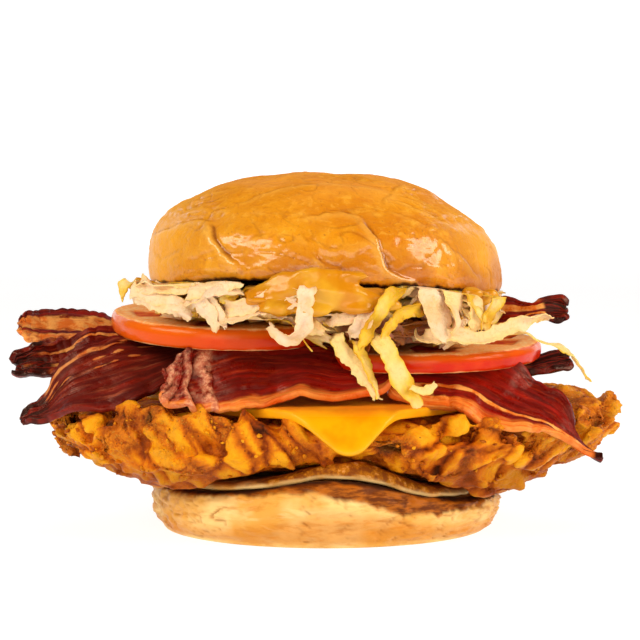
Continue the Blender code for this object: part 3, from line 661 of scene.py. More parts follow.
filletPlan = {
    "lumps": 95, "seed": 5, "voxel": 0.8,
    # size and depth in mm of each layer of round lumps, and how much of it is left out of the smooth ground
    "pillows": [(9.6, 2.4, 0.0), (4.4, 1.0, 0.2), (2.0, 0.85, 0.6)],
    # lumps placed one by one along the front: x, y, z and half sizes in mm
    "hand": [(-78, -26, 37, 6, 6, 5), (-68, -36, 35, 7, 5, 5), (-58, -42, 37.5, 5, 5, 5.5), (-49, -46, 37, 5.5, 4, 5),
             (-38, -49, 36, 6, 4, 4), (-60, -43, 31, 8, 5, 6), (-42, -48, 31, 7, 5, 6), (-24, -53, 32, 8, 4, 6),
             (27, -51.5, 29, 8, 5, 6.5), (36, -50, 36, 5.5, 4, 3.5), (42, -49, 27, 7, 4.5, 5.5),
             (47, -47.5, 35, 5.5, 4, 4), (54, -46, 28, 6, 4.5, 5), (63, -42, 33, 5.5, 4.5, 4.5),
             (64, -41, 25, 6.5, 5, 4.5), (70, -37, 31, 6, 5, 6),
             (-62, -31, 20.5, 6, 5, 3.5), (80, -14, 36, 5, 7, 5), (86, -9, 37.5, 4.5, 5, 4.5), (75, -24, 35, 6, 6, 5)],
    # long lumps side by side over the left half of the front, leaning to the right as they go down
    "ridges": [(-50, -44, 33, 3.6, 4.0, 7.5), (-44, -46.5, 34, 3.6, 4.4, 8.5), (-38, -48.5, 31, 3.8, 4.6, 8.5),
               (-32, -50, 34, 3.8, 4.6, 9), (-26, -51, 31, 3.6, 4.8, 9), (-20, -51.8, 33, 3.8, 4.8, 9),
               (-14, -52.4, 30, 3.6, 4.6, 8.5), (-8, -52.8, 32, 3.8, 4.6, 8), (-1.5, -53, 29, 4.0, 4.4, 7)],
    "lean": -34,
    # no seeded lumps between these two x and in front of this y
    "bare": (-52, 4, -40),
    # dark pits at the front: x, y, z, radius and depth in mm
    "pits": [(-75, -28, 35, 2.6, 2.5), (-63, -40, 33, 2.6, 2.5), (-31, -56, 37, 3.0, 2.5), (-52, -48, 38, 2.2, 2),
             (15, -56, 23, 3.0, 2.5), (18, -56, 28, 3.0, 3), (21, -56, 37, 2.4, 1.6), (35, -54, 24, 2.4, 1.4),
             (-18, -57, 36, 2.4, 1.6)],
    # left and right: how much the underside's edge is drawn in, and how much the whole is widened
    "tuck": (0.07, 0.1), "widen": (1.0, 1.008),
    # how far the right end is raised in mm, and how many loose crumbs there are
    "endRise": 0.6, "crumbs": 420,
}
restsOnFillet = ["cheese_slice", "bacon_long", "bacon_left_back", "bacon_left_front", "bacon_front",
                 "bacon_right_front", "heel_sauce"]


def friedBreading():
    crust = Finish("friedBreading", Specular_IOR_Level=0.2, Specular_Tint=(1, 0.85, 0.6, 1))
    broad = crust.grain(15, 3, 0.5)
    small = crust.grain(2.4, 5, 0.6)
    fine = crust.grain(0.6, 3, 0.6)
    grit = crust.painted("grit")
    height = crust.painted("lump") + (small - 0.5) * 0.35 + (broad - 0.5) * 0.35 + (fine - 0.5) * grit * 0.5
    # dark red-brown in the hollows and pits and gold on the lumps: partly the crust's own browning, partly painted
    # shade in the hollows
    colour = crust.ramp(height, [(0.0, tone(60, 18, 2)), (0.22, tone(150, 60, 2)), (0.42, tone(216, 114, 4)),
                                 (0.6, tone(244, 162, 10)), (0.82, tone(250, 176, 24)), (1.0, tone(254, 196, 70))])
    colour = crust.mix(crust.band(crust.grain(7, 3), 0.54, 0.7) * 0.4, colour, tone(222, 112, 4))
    colour = crust.mix(grit * crust.band(small, 0.35, 0.6) * 0.5, colour, tone(204, 124, 34))
    # painted shade: darker towards the underside
    colour = crust.mix(crust.painted("under") * 0.5, colour, tone(150, 66, 4))
    dots = crust.band(crust.cells(2.6), 0.12, 0.05)
    colour = crust.mix(dots * crust.band(broad, 0.42, 0.55) * 0.75, colour, tone(70, 26, 4))
    # light crumbs on the gritty parts, partly the crumbs' own colour and partly painted glints
    crumbs = crust.band(crust.cells(1.3), 0.3, 0.12) * grit
    colour = crust.mix(crumbs * 0.5, colour, tone(238, 172, 70))
    crust.relief(small * 0.6 + fine * 0.5 + crumbs * 0.6, 0.7, 0.9)
    return crust.look(Base_Color=colour, Roughness=crust.gloss(crust.band(small, 0.3, 0.7) * 0.25 + 0.35))


def addLump(bm, centre, size, seed, turn=Matrix.Identity(3)):
    # a small knobbly lump of batter
    made = bmesh.ops.create_icosphere(bm, subdivisions=2, radius=1)["verts"]
    for vert in made:
        d = vert.co.copy()
        squash = 1 + 0.35 * noise.noise(d * 1.1 + Vector((seed, 0, 0)))
        squash += 0.2 * noise.noise(d * 2.7 + Vector((0, seed, 0)))
        vert.co = centre + turn @ Vector((d.x * size.x, d.y * size.y, d.z * size.z)) * squash
    return made


def buildFillet(material):
    plan = filletPlan
    draw = random.Random(plan["seed"])
    base = cadCopy("chicken_fillet")
    base.faces.ensure_lookup_table()
    rim = [face for face in base.faces if abs(face.normal.z) < 0.8]
    bm = base.copy()
    for k in range(plan["lumps"]):
        face = draw.choice(rim)
        reach = draw.uniform(2.2, 5.2)
        size = Vector((reach * draw.uniform(0.7, 1.3), reach * draw.uniform(0.7, 1.1), reach * draw.uniform(0.8, 1.3)))
        centre = face.calc_center_median() - face.normal * reach * draw.uniform(0.5, 0.9)
        left, right, front = plan["bare"]
        if left < centre.x < right and centre.y < front:
            continue
        if all(cadTrees[name].find_nearest(centre, reach * 1.3 + 0.3)[0] is None for name in restsOnFillet):
            addLump(bm, centre, size, k * 3.7)
    for k, (x, y, z, *size) in enumerate(plan["hand"]):
        addLump(bm, Vector((x, y, z)), Vector(size), 900 + k * 2.9)
    lean = Matrix.Rotation(math.radians(plan["lean"]), 3, "Y")
    for k, (x, y, z, *size) in enumerate(plan["ridges"]):
        addLump(bm, Vector((x, y, z)), Vector(size), 1200 + k * 4.1, lean)
    base.free()
    bm = evaluated(bm, [("REMESH", {"mode": "VOXEL", "voxel_size": plan["voxel"]})])
    bm.normal_update()
    lumpLayer, gritLayer, underShadeLayer = paintLayers(bm, "lump", "grit", "under")
    pits = [(Vector(pit[:3]), pit[3], pit[4]) for pit in plan["pits"]]
    slant = lean.inverted()
    moves = []
    for vert in bm.verts:
        p, n = vert.co, vert.normal
        grit = ease(0.12 + 1.7 * patch(p, 14) + 0.5 * ease((abs(p.x) - 58) / 25) + 0.3 * ease((p.x - 10) / 40))
        leaning = slant @ p
        ridged = ease((16 - p.x) / 22) * ease((p.x + 68) / 12)
        leaning.z *= 0.45
        height, total = 0.0, 0.0
        for k, (size, depth, gritty) in enumerate(plan["pillows"]):
            value = pillow(p, size)
            if k < 2 and ridged:
                value += (pillow(leaning, size * 0.8) - value) * ridged
            depth *= (1 - gritty + gritty * grit) * (1 - 0.45 * ridged)
            height += depth * value
            total += depth
        pit = max(depth * gauss((p - centre).length, radius) for centre, radius, depth in pits)
        bared = ease((0.93 - abs(n.z)) / 0.3)
        rise = (1.0 * patch(p, 7) + 0.6 * patch(p, 1.7) * grit) * bared
        rise *= 1 - 0.5 * ridged
        moves.append((vert, n * (rise + (height - 0.72 * total) * (0.3 + 0.7 * bared) - pit)))
        # high on the lumps and low in the hollows and pits, which the finish paints dark, partly as shade
        vert[lumpLayer] = min(max(0.1 + 0.75 * height / total + 0.15 * patch(p, 10) - 0.25 * pit, 0), 1)
        vert[gritLayer] = grit
        # painted shade: darker towards the bottom
        vert[underShadeLayer] = ease((25 - p.z) / 6)
    for vert, move in moves:
        p = vert.co + move
        right = p.x > 0
        tuck = 1 + (plan["widen"][right] - 1) * ease(abs(p.x) / 50) - plan["tuck"][right] * ease((35 - p.z) / 17)
        vert.co = (p.x * tuck, p.y * tuck, p.z + plan["endRise"] * ease((p.x - 60) / 25))
    return finishPiece("chickenFillet", bm, material, "chicken_fillet")


def buildCrumbs(material, fillet):
    # loose bits of crust caught on the fillet's sides
    plan = filletPlan
    draw = random.Random(plan["seed"] + 1)
    source = bmesh.new()
    source.from_mesh(fillet.data)
    sides = [face for face in source.faces if abs(face.normal.z) < 0.75]
    bm = bmesh.new()
    for k in range(plan["crumbs"]):
        face = draw.choice(sides)
        centre = face.calc_center_median() / mm
        size = draw.uniform(0.3, 0.85)
        made = bmesh.ops.create_icosphere(bm, subdivisions=1, radius=1)["verts"]
        turn = Matrix.Rotation(draw.uniform(0, math.tau), 3, Vector((draw.random(), draw.random(), 1)))
        stretch = Vector((size * draw.uniform(0.8, 1.8), size, size * draw.uniform(0.5, 1)))
        for vert in made:
            d = vert.co * (1 + 0.5 * noise.noise(vert.co * 1.7 + Vector((k * 2.3, 0, 0))))
            flake = Vector((d.x * stretch.x, d.y * stretch.y, d.z * stretch.z))
            vert.co = centre + turn @ flake + face.normal * 0.2 * size
    source.free()
    lumpLayer, gritLayer, underShadeLayer = paintLayers(bm, "lump", "grit", "under")
    for vert in bm.verts:
        vert[lumpLayer], vert[gritLayer] = 0.5 + 0.5 * noise.noise(vert.co / 9), 0.6
        # painted shade: darker towards the bottom
        vert[underShadeLayer] = ease((26 - vert.co.z) / 6)
    return finishPiece("breadingCrumbs", bm, material, None)


breading = friedBreading()
filletPiece = buildFillet(breading)
buildCrumbs(breading, filletPiece)
print("chicken fillet")

# Cheese slice

cheesePlan = {
    "side": 86, "thickness": 2.8, "centre": (3.0, -10), "turn": 49, "segments": 120,
    # where the corner folds down, the bend's radius, the steepest slope and the share that rounds a corner
    "foldY": 53, "bendRadius": 6, "steepest": 68, "corner": 0.16, "bevel": 1.0,
}


def filletTop(x, y):
    hump = 6.5 * gauss(x - 73, 12) * ease((y + 34) / 30)
    bulge = gauss(x + 60, 20) + 1.5 * gauss(x - 80, 16) + hump
    corner = 1.5 + 3.5 * ease((abs(x - 5) - 16) / 30)
    return 39 + bulge - corner * ease((-y - 20) / 36) - 4 * ease((y - 25) / 35)


def meltedCheese():
    cheese = Finish("meltedCheese", Specular_IOR_Level=0.3, Specular_Tint=(1, 0.9, 0.6, 1))
    cloud = cheese.grain(9, 3, 0.5)
    fine = cheese.grain(1.4, 4, 0.6)
    colour = cheese.mix(cheese.band(cloud, 0.35, 0.65), tone(242, 146, 0), tone(254, 170, 2))
    # painted highlight: the slice's border painted lighter
    colour = cheese.mix(cheese.painted("edge") * 0.5, colour, tone(255, 186, 30))
    cheese.relief(cloud * 0.8 + fine * 0.2, 0.3, 0.35)
    return cheese.look(Base_Color=colour, Roughness=cheese.gloss(0.22))


def buildCheese(material):
    plan = cheesePlan
    half, corner, bendRadius = plan["side"] / 2, plan["corner"], plan["bendRadius"]
    turn, steepest = math.radians(plan["turn"]), math.radians(plan["steepest"])
    bm = bmesh.new()
    bmesh.ops.create_grid(bm, x_segments=plan["segments"], y_segments=plan["segments"], size=1)
    litEdgeLayer = bm.verts.layers.float.new("edge")
    for vert in bm.verts:
        u, v = vert.co.x, vert.co.y
        # the border, which the finish paints lighter as a highlight
        vert[litEdgeLayer] = ease((max(abs(u), abs(v)) - 0.95) / 0.05)
        over = (max(abs(u) - (1 - corner), 0), max(abs(v) - (1 - corner), 0))
        if min(over) > 0:
            pull = max(over) / math.hypot(*over)
            u -= math.copysign(over[0] * (1 - pull), u)
            v -= math.copysign(over[1] * (1 - pull), v)
        a, b = u * half, v * half
        x = plan["centre"][0] + a * math.cos(turn) - b * math.sin(turn)
        y = plan["centre"][1] + a * math.sin(turn) + b * math.cos(turn)
        past = max(-y - plan["foldY"], 0)
        bend = min(past / bendRadius, steepest)
        rest = past - bend * bendRadius
        drop = bendRadius * (1 - math.cos(bend)) + rest * math.sin(steepest)
        if past:
            y = -(plan["foldY"] + bendRadius * math.sin(bend) + rest * math.cos(steepest))
        level = filletTop(x, max(y, -plan["foldY"])) + plan["thickness"] / 2 + 0.4
        wave = 0.35 * patch(Vector((x, y, 0)), 13) * ease((past + 6) / 12)
        vert.co = (x, y - wave, level - drop)
    bmesh.ops.recalc_face_normals(bm, faces=bm.faces)
    rounded = {"width": plan["bevel"] * mm, "segments": 3, "limit_method": "ANGLE", "angle_limit": math.radians(60)}
    layers = [("SOLIDIFY", {"thickness": plan["thickness"] * mm, "offset": 0}), ("BEVEL", rounded)]
    return finishPiece("cheeseSlice", bm, material, "cheese_slice", layers)


buildCheese(meltedCheese())
print("cheese slice")

# Bacon strips. Each route runs left to right: (x, y, z, degrees that the front edge hangs down, width).
# roll and rise are added to a strip's route here, curl bends its two edges up where it is a trough,
# fat is (place across, half width) of each fat line, and knots are (share, reach, height) of crumpled places.

baconThickness = 2.0
# how the solids' strips were laid: thickness, the share of it kept below the middle, gap, and the reach looked round
laidStrip = {"thickness": 2.3, "share": 0.62, "gap": 0.4, "reach": 3.5}
baconPlan = {
    "bacon_long": {
        "route": [(-95, -9, 50, 25, 12), (-84, -9, 52, 30, 17), (-72, -9, 54, 30, 21),
                  (-57, -7, 53.5, 18, 24), (-32, -1, 52, 8, 25), (3, 1, 47.5, 0, 25),
                  (40, -2, 45.5, 2, 23), (58, -8, 46.5, 14, 16), (75, -8, 51.5, 22, 12)],
        "ripple": 1.0, "waves": 4.5, "phase": 0.3, "seed": 3,
        "roll": [30, 10, 0, 0, 0, 0, 0, 0, 0], "rise": [-1.2, -1, 0, 0, 0, 1.8, 2.4, 0.5, 0],
        "curl": [95, 85, 40, 10, 0, 0, 0, 20, 60], "fat": [(-0.6, 0.06), (-0.05, 0.07), (0.5, 0.06)],
        "knots": [], "singed": (0.15, 0.16), "hue": 0.6, "frill": 1.0, "brim": 0.3,
    },
    "bacon_left_back": {
        "route": [(-97, 17, 60, 12, 13), (-86, 18, 60, 16, 24), (-66, 21, 57, 14, 25),
                  (-42, 28, 55.5, 8, 25), (-8, 31, 49.5, 0, 25), (34, 31, 43, -8, 24),
                  (62, 30, 41, -10, 18)],
        "ripple": 1.2, "waves": 3.5, "phase": 2.0, "seed": 8,
        "roll": [10, 10, 0, 0, 0, 0, 0], "rise": [0, 0, 0, 0, 0, 0, 0],
        "curl": [20, 15, 10, 0, 0, 0, 20], "fat": [(-0.25, 0.5), (0.7, 0.32)],
        "knots": [], "singed": (0.03, 0.1), "hue": 0.25, "frill": 1.3, "brim": 0.3,
    },
    "bacon_left_front": {
        "route": [(-90, -29, 35, 20, 5), (-83, -31, 39, 35, 11), (-73, -33, 46, 44, 21),
                  (-62, -32, 50, 42, 25), (-51, -27, 50.5, 28, 24), (-40, -19, 48.5, 6, 18)],
        "ripple": 0.9, "waves": 3.0, "phase": 1.0, "seed": 14,
        "roll": [20, 10, 8, 8, 0, 0], "rise": [0, 0, 0, 0, 0, 0],
        "curl": [50, 30, 10, 10, 0, 0], "fat": [(-0.82, 0.05), (-0.55, 0.02), (-0.3, 0.02)],
        "knots": [], "singed": (0.24, 0.0), "hue": 0.95, "frill": 1.3, "brim": 0.0,
    },
    "bacon_right_front": {
        "route": [(17, -35, 44.8, 6, 17), (31, -37, 45, 12, 22), (43, -38, 44.5, 20, 25),
                  (55, -41, 41, 30, 24), (65, -42, 38, 40, 17), (72, -44, 32, 42, 4.5),
                  (80, -44, 25, 30, 2.2)],
        "ripple": 1.0, "waves": 3.0, "phase": 0.8, "seed": 21,
        "roll": [36, 34, 24, 14, 6, 0, 0], "rise": [3.2, 3.2, 2.8, 1.5, 0, 0, 0],
        "curl": [0, 0, 0, 10, 15, 20, 20], "fat": [(0.92, 0.2), (0.45, 0.05)],
        "knots": [], "singed": (0.0, 0.1), "hue": 0.0, "frill": 1.3, "brim": 2.6,
    },
    "bacon_front": {
        "route": [(-47, -46, 48, 66, 14), (-42, -47, 47, 62, 18), (-33, -45, 47, 48, 23),
                  (-22, -42, 47.4, 24, 23), (-10, -41, 47.8, 10, 22), (3, -41, 47, 10, 20),
                  (20, -39, 46.6, 8, 18)],
        "ripple": 1.2, "waves": 3.5, "phase": 4.2, "seed": 27,
        "roll": [0, 0, 10, 26, 32, 30, 30], "rise": [0, 0.5, 1.5, 2.6, 2.8, 2.8, 2.8],
        "curl": [60, 40, 15, 0, 0, 0, 0], "fat": [(0.95, 0.12)],
        "knots": [(0.04, 0.07, 3.4), (0.17, 0.08, 3.2), (0.3, 0.05, 2.0)], "singed": (0.0, 0.0), "hue": 0.1,
        "frill": 1.1, "brim": 2.4,
    },
    "bacon_right_top": {
        "route": [(36, 3, 60, 4, 16), (48, 0, 62.5, 14, 20), (57, -2, 64.5, 24, 17),
                  (64, -3, 66, 20, 7), (69, -3, 67.2, 30, 9), (74.6, -3, 66.4, 34, 11)],
        "ripple": 0.5, "waves": 2.0, "phase": 0.0, "seed": 33,
        "roll": [0, 10, 20, 30, 36, 36], "rise": [0, 0, 0, 0, 0, 0],
        "curl": [0, 0, 10, 50, 70, 70], "fat": [(-0.3, 0.2), (0.5, 0.15)],
        "knots": [], "singed": (0.0, 0.3), "hue": 0.0, "frill": 1.0, "brim": 0.5,
    },
}
laidOrder = ["bun_heel", "heel_sauce", "chicken_fillet", "cheese_slice", "bacon_long", "bacon_left_back",
             "bacon_left_front", "bacon_right_front", "bacon_front", "tomato_right", "tomato_left",
             "bacon_right_top"]


def friedBacon():
    bacon = Finish("friedBacon", Specular_IOR_Level=0.3, Specular_Tint=(1, 0.7, 0.55, 1))
    strip = bacon.node("UVMap", {"uv_map": "strip"}, {}, "UV")

    def streaks(size, detail):
        lengthwise = bacon.stretch(strip, (0.9 / size, 9 / size, 1))
        sockets = {"Vector": lengthwise, "Scale": 1, "Detail": detail, "Roughness": 0.6}
        return bacon.node("TexNoise", {}, sockets, "Fac")

    wide, narrow = streaks(3.2, 4), streaks(1.1, 4)
    blotch = bacon.grain(4, 4, 0.6)
    fine = bacon.grain(0.9, 3, 0.6)
    hue, knot = bacon.painted("hue"), bacon.painted("knot")
    fat = bacon.painted("fat") + (wide - 0.5) * 0.9 + (blotch - 0.5) * 0.5 + (narrow - 0.5) * 0.5
    fat = bacon.band(fat, 0.42, 0.7)
    meat = bacon.mix(hue, tone(98, 2, 1), tone(80, 8, 4))
    meat = bacon.mix(bacon.band(wide, 0.4, 0.7) * 0.8, meat, bacon.mix(hue, tone(170, 18, 3), tone(134, 30, 14)))
    meat = bacon.mix(bacon.band(narrow, 0.5, 0.75) * 0.55, meat, bacon.mix(hue, tone(184, 52, 10), tone(176, 92, 58)))
    meat = bacon.mix(bacon.band(narrow, 0.5, 0.25) * 0.6, meat, tone(58, 8, 5))
    rind = bacon.mix(bacon.band(blotch, 0.4, 0.62), tone(224, 112, 28), tone(246, 172, 86))
    rind = bacon.mix(hue * 0.6, rind, tone(176, 94, 56))
    colour = bacon.mix(fat, meat, rind)
    colour = bacon.mix(bacon.painted("brim") * 0.7, colour, bacon.mix(
        bacon.band(narrow, 0.4, 0.6), tone(222, 92, 20), tone(244, 148, 58)))
    colour = bacon.mix(knot * bacon.band(blotch, 0.38, 0.55), colour, bacon.mix(
        bacon.band(fine, 0.45, 0.6), tone(206, 120, 88), tone(232, 168, 126)))
    char = bacon.band(bacon.painted("char") + (blotch - 0.5) * 0.6, 0.3, 0.7)
    colour = bacon.mix(char, colour, bacon.mix(bacon.band(narrow, 0.45, 0.65), tone(40, 6, 3), tone(132, 24, 10)))
    bacon.relief(wide * 0.6 + narrow * 0.5 + blotch * 0.4 + fine * 0.15, 0.8, 0.8)
    return bacon.look(Base_Color=colour, Roughness=bacon.gloss(bacon.band(blotch, 0.3, 0.7) * 0.25 + 0.2, 0.5, 0.85))


def stripFrame(route, s):
    # centre, width and the two directions of the strip's section at a share of its length
    x, y, z, roll, width = along(route, s)
    ahead = Vector(along(route, s + 0.02)[:3]) - Vector(along(route, s - 0.02)[:3])
    side = ahead.cross(Vector((0, 0, 1))).normalized()
    up = side.cross(ahead).normalized()
    tilt = math.radians(roll)
    over = side * math.cos(tilt) - up * math.sin(tilt)
    face = side * math.sin(tilt) + up * math.cos(tilt)
    return Vector((x, y, z)), over, face, width


def stripLifts(name):
    # how far the solid's rows were lifted to clear the layers below them
    strip = baconPlan[name]
    below = laidOrder[:laidOrder.index(name)]
    clear = laidStrip["thickness"] * laidStrip["share"] + laidStrip["gap"]
    count = 2 * (len(strip["route"]) - 1) + 5
    need = []
    for i in range(count + 1):
        s = i / count
        centre, over, face, width = stripFrame(strip["route"], s)
        most = 0.0
        for j in range(4):
            a = 2 * j / 3 - 1
            wave = strip["ripple"] * math.sin(math.tau * strip["waves"] * s + strip["phase"] + 0.7 * a)
            p = centre + over * (a * width / 2) + face * wave * (0.5 + 0.5 * abs(a))
            top = max(topOf(below, *around) for around in roundAbout(p.x, p.y, laidStrip["reach"]))
            most = max(most, top + clear - p.z)
        need.append(most)
    widest = [max(need[max(i - 1, 0):i + 2]) for i in range(len(need))]
    near = [widest[max(i - 1, 0):i + 2] for i in range(len(need))]
    return [sum(values) / len(values) for values in near]


def spread(values, s):
    # one value, from those given evenly along a strip
    return along([(value,) for value in values], s)[0]


def buildBacon(name, material):
    strip = baconPlan[name]
    lifts = stripLifts(name)
    seed = strip["seed"]
    route = [(x, y, z + rise, roll + more, width)
             for (x, y, z, roll, width), more, rise in zip(strip["route"], strip["roll"], strip["rise"])]
    length = sum((Vector(b[:3]) - Vector(a[:3])).length for a, b in zip(route, route[1:]))
    bm = bmesh.new()
    bmesh.ops.create_grid(bm, x_segments=int(length / 0.9), y_segments=32, size=1)
    fatLayer, charLayer, hueLayer, brimLayer, knotLayer = paintLayers(bm, "fat", "char", "hue", "brim", "knot")
    uvLayer = bm.loops.layers.uv.new("strip")
    for face in bm.faces:
        for loop in face.loops:
            loop[uvLayer].uv = (loop.vert.co.x * length / 20 + seed, loop.vert.co.y * 1.2)
    for vert in bm.verts:
        s, a = (vert.co.x + 1) / 2, vert.co.y
        centre, over, face, width = stripFrame(route, s)
        curl = math.radians(max(spread(strip["curl"], s), 0.5))
        here = Vector((s * length, a * width / 2, seed * 17.0))
        rimPlace = Vector((s * length, math.copysign(9, a), seed * 5.0))
        width *= 1 + (0.1 * patch(rimPlace, 7) + 0.07 * patch(rimPlace, 2.6)) * abs(a)
        width *= 1 - 0.4 * (ease(1 - s * length / 4) + ease(1 - (1 - s) * length / 4))
        ends = (2.0 * patch(Vector((a * 8, seed * 3.0, math.copysign(5, s - 0.5))), 3)
                * (ease(1 - s * 20) - ease(s * 20 - 19)))
        wave = strip["ripple"] * math.sin(math.tau * strip["waves"] * s + strip["phase"] + 0.7 * a)
        frill = strip["frill"] * abs(a) ** 2 * (noise.noise(rimPlace / 5.5) + 0.5 * noise.noise(rimPlace / 2.4))
        knot = max([gauss(s - at, reach) for at, reach, _ in strip["knots"]], default=0)
        pleat = math.sin((s * length + 2.5 * a + 5 * patch(here, 6)) / 1.05)
        pleats = sum(height * gauss(s - at, reach) for at, reach, height in strip["knots"]) * pleat
        drift = 0.2 * patch(here, 30) + 0.07 * patch(here, 8)
        fat = max(gauss(a - at - drift, half) for at, half in strip["fat"])
        edge = a if strip["brim"] > 1 else abs(a)
        brim = min(strip["brim"], 1) * ease((edge - 1 + 0.14 * strip["brim"] + 0.1 * patch(here, 4)) / 0.1)
        offset = over * (width / 2 * math.sin(curl * a) / curl)
        offset += face * (width / 2 * (1 - math.cos(curl * a)) / curl - 0.12 * width * ease(curl / 1.2))
        cords = patch(Vector((s * length / 6, a * width / 2, seed * 3.0)), 1.9)
        rise = wave * (0.5 + 0.5 * abs(a)) + frill + 0.35 * fat + 0.45 * patch(here, 3) + 0.5 * cords + 0.5 * pleats
        ahead = face.cross(over)
        p = centre + offset + face * rise + ahead * (ends + 0.3 * pleats)
        p.z += spread(lifts, s)
        vert.co = p
        left, right = strip["singed"]
        singed = max(ease((left - s) / 0.12 + 0.3) if left else 0,
                     ease((s - 1 + right) / 0.12 + 0.3) if right else 0)
        vert[fatLayer] = fat
        vert[charLayer] = min(max(singed * (0.8 + 0.5 * patch(here, 5)), 0), 1)
        vert[hueLayer] = min(max(strip["hue"] + 0.4 * patch(here, 14), 0), 1)
        vert[brimLayer] = brim
        vert[knotLayer] = knot * (0.55 + 0.45 * pleat)
    bmesh.ops.recalc_face_normals(bm, faces=bm.faces)
    layers = [("SOLIDIFY", {"thickness": baconThickness * mm, "offset": 0}), smoothOnce]
    return finishPiece(camelName(name), bm, material, name, layers)


bacon = friedBacon()
for stripName in baconPlan:
    buildBacon(stripName, bacon)
print("bacon strips")

# Tomato slices

tomatoPlan = {
    "tomato_right": {"centre": (29, -12), "underZ": 51.4, "slope": (0.01, 0.045), "radius": 36.6,
                     "thickness": 5.6, "seed": 1},
    "tomato_left": {"centre": (-31.5, -12), "underZ": 58.2, "slope": (-0.04, 0.07), "radius": 34,
                    "thickness": 6.4, "seed": 2},
}


def ripeTomato():
    tomato = Finish("ripeTomato", Specular_IOR_Level=0.28, Specular_Tint=(1, 0.85, 0.7, 1))
    cloud = tomato.grain(6, 3, 0.5)
    fine = tomato.grain(1.1, 4, 0.6)
    ripe = tomato.painted("ripe")
    peel = tomato.mix(ripe, tone(224, 88, 2), tone(210, 34, 1))
    peel = tomato.mix(tomato.painted("shoulder") * 0.55, peel, tone(226, 116, 18))
    peel = tomato.mix(tomato.band(cloud, 0.4, 0.7) * 0.35, peel, tone(228, 80, 14))
    flesh = tomato.mix(tomato.band(fine + cloud * 0.5, 0.6, 0.95), tone(255, 168, 84), tone(255, 212, 148))
    flesh = tomato.mix(tomato.painted("gel"), flesh, tomato.mix(
        tomato.band(cloud, 0.4, 0.6), tone(204, 64, 16), tone(224, 118, 34)))
    tomato.relief(fine * 0.5 + cloud * 0.5, 0.3, 0.35)
    return tomato.look(Base_Color=tomato.mix(tomato.painted("skin"), flesh, peel), Roughness=tomato.gloss(0.2))


def buildTomato(name, material):
    plan = tomatoPlan[name]
    r, t = plan["radius"], plan["thickness"]
    cx, cy = plan["centre"]
    below = laidOrder[:laidOrder.index(name)]

    def underside(x, y):
        return plan["underZ"] + plan["slope"][0] * (x - cx) + plan["slope"][1] * (y - cy)

    lift, rings, places = 0.0, 12, 40
    for ring in range(rings + 1):
        for k in range(places):
            x = cx + ring / rings * r * math.cos(math.tau * k / places)
            y = cy + ring / rings * r * math.sin(math.tau * k / places)
            lift = max(lift, topOf(below, x, y) + laidStrip["gap"] - underside(x, y))
    rimLine = [(r - 3, t), (r - 1.3, t), (r - 0.2, 0.8 * t), (r, 0.45 * t), (r - 0.5, 0.12 * t),
               (r - 1.6, 0), (r - 3, 0)]
    profile = evenLine([(0, t), (r / 2, t), (r - 3, t)], 1.1) + evenLine(rimLine, 0.35)[1:]
    profile += evenLine([(r - 3, 0), (r / 2, 0), (0, 0)], 1.6)[1:]
    bm = spun(profile, steps=240)
    skinLayer, gelLayer, ripeLayer, shoulderLayer = paintLayers(bm, "skin", "gel", "ripe", "shoulder")
    for vert in bm.verts:
        x, y, z = vert.co
        turn, reach = math.atan2(y, x), math.hypot(x, y)
        wobble = 1 + 0.012 * math.sin(3 * turn + 0.5) + 0.008 * math.sin(5 * turn)
        wobble += 0.006 * noise.noise(Vector((math.cos(turn) * 6, math.sin(turn) * 6, plan["seed"] * 3.0)))
        chamber = math.cos(5 * turn + plan["seed"]) + 0.4 * noise.noise(Vector((x, y, 0)) / 7)
        gel = ease((chamber - 0.05) / 0.4) * ease((reach / r - 0.28) / 0.1) * ease((0.84 - reach / r) / 0.06)
        level = z - 0.7 * gel * (1 if z > t / 2 else -1) * ease(abs(z / t - 0.5) / 0.5 - 0.2)
        level += 0.12 * patch(Vector((x, y, z * 3)), 2.4)
        px, py = cx + x * wobble, cy + y * wobble
        vert.co = (px, py, level + underside(px, py) + lift)
        vert[skinLayer] = ease((reach - (r - 1.2) + 0.4 * patch(Vector((x, y, 5)), 4)) / 0.5)
        vert[gelLayer] = gel
        vert[ripeLayer] = ease((px + 62) / 60 + 0.25 * patch(Vector((px, py, 0)), 16))
        vert[shoulderLayer] = ease((z / t - 0.45) / 0.4)
    return finishPiece(camelName(name), bm, material, name)


tomato = ripeTomato()
for sliceName in tomatoPlan:
    buildTomato(sliceName, tomato)
print("tomato slices")

# Orange sauce under the upper bun half

saucePlan = {
    "voxel": 0.7,
    # blobs joined on at the front: centre, half sizes in mm
    "blobs": [((-14, -57.5, 70), (5.5, 2.4, 2.2)), ((-4, -59, 69.5), (6, 2.2, 2.0)),
              ((9, -58, 69.8), (5, 2.2, 1.8)), ((18, -56, 71), (3.6, 2.2, 2.2)),
              ((-20, -55, 72), (3.4, 2.0, 1.6)), ((-3, -57, 80.4), (8, 1.6, 1.5)),
              ((8, -57.3, 79.5), (5, 1.6, 1.6))],
}
smearPlan = {
    # thin spots on the lettuce, given in the same way
    "spots": [((43, -37, 73.4), (3.4, 2.2, 2.2)), ((46, -35, 72.0), (3.0, 2.2, 2.4)),
              ((49, -31, 72.6), (2.6, 2.2, 2.0)), ((51, -28, 70.8), (2.2, 2.0, 1.8)),
              ((-19, -56.5, 72.4), (3.4, 1.2, 0.9))],
}


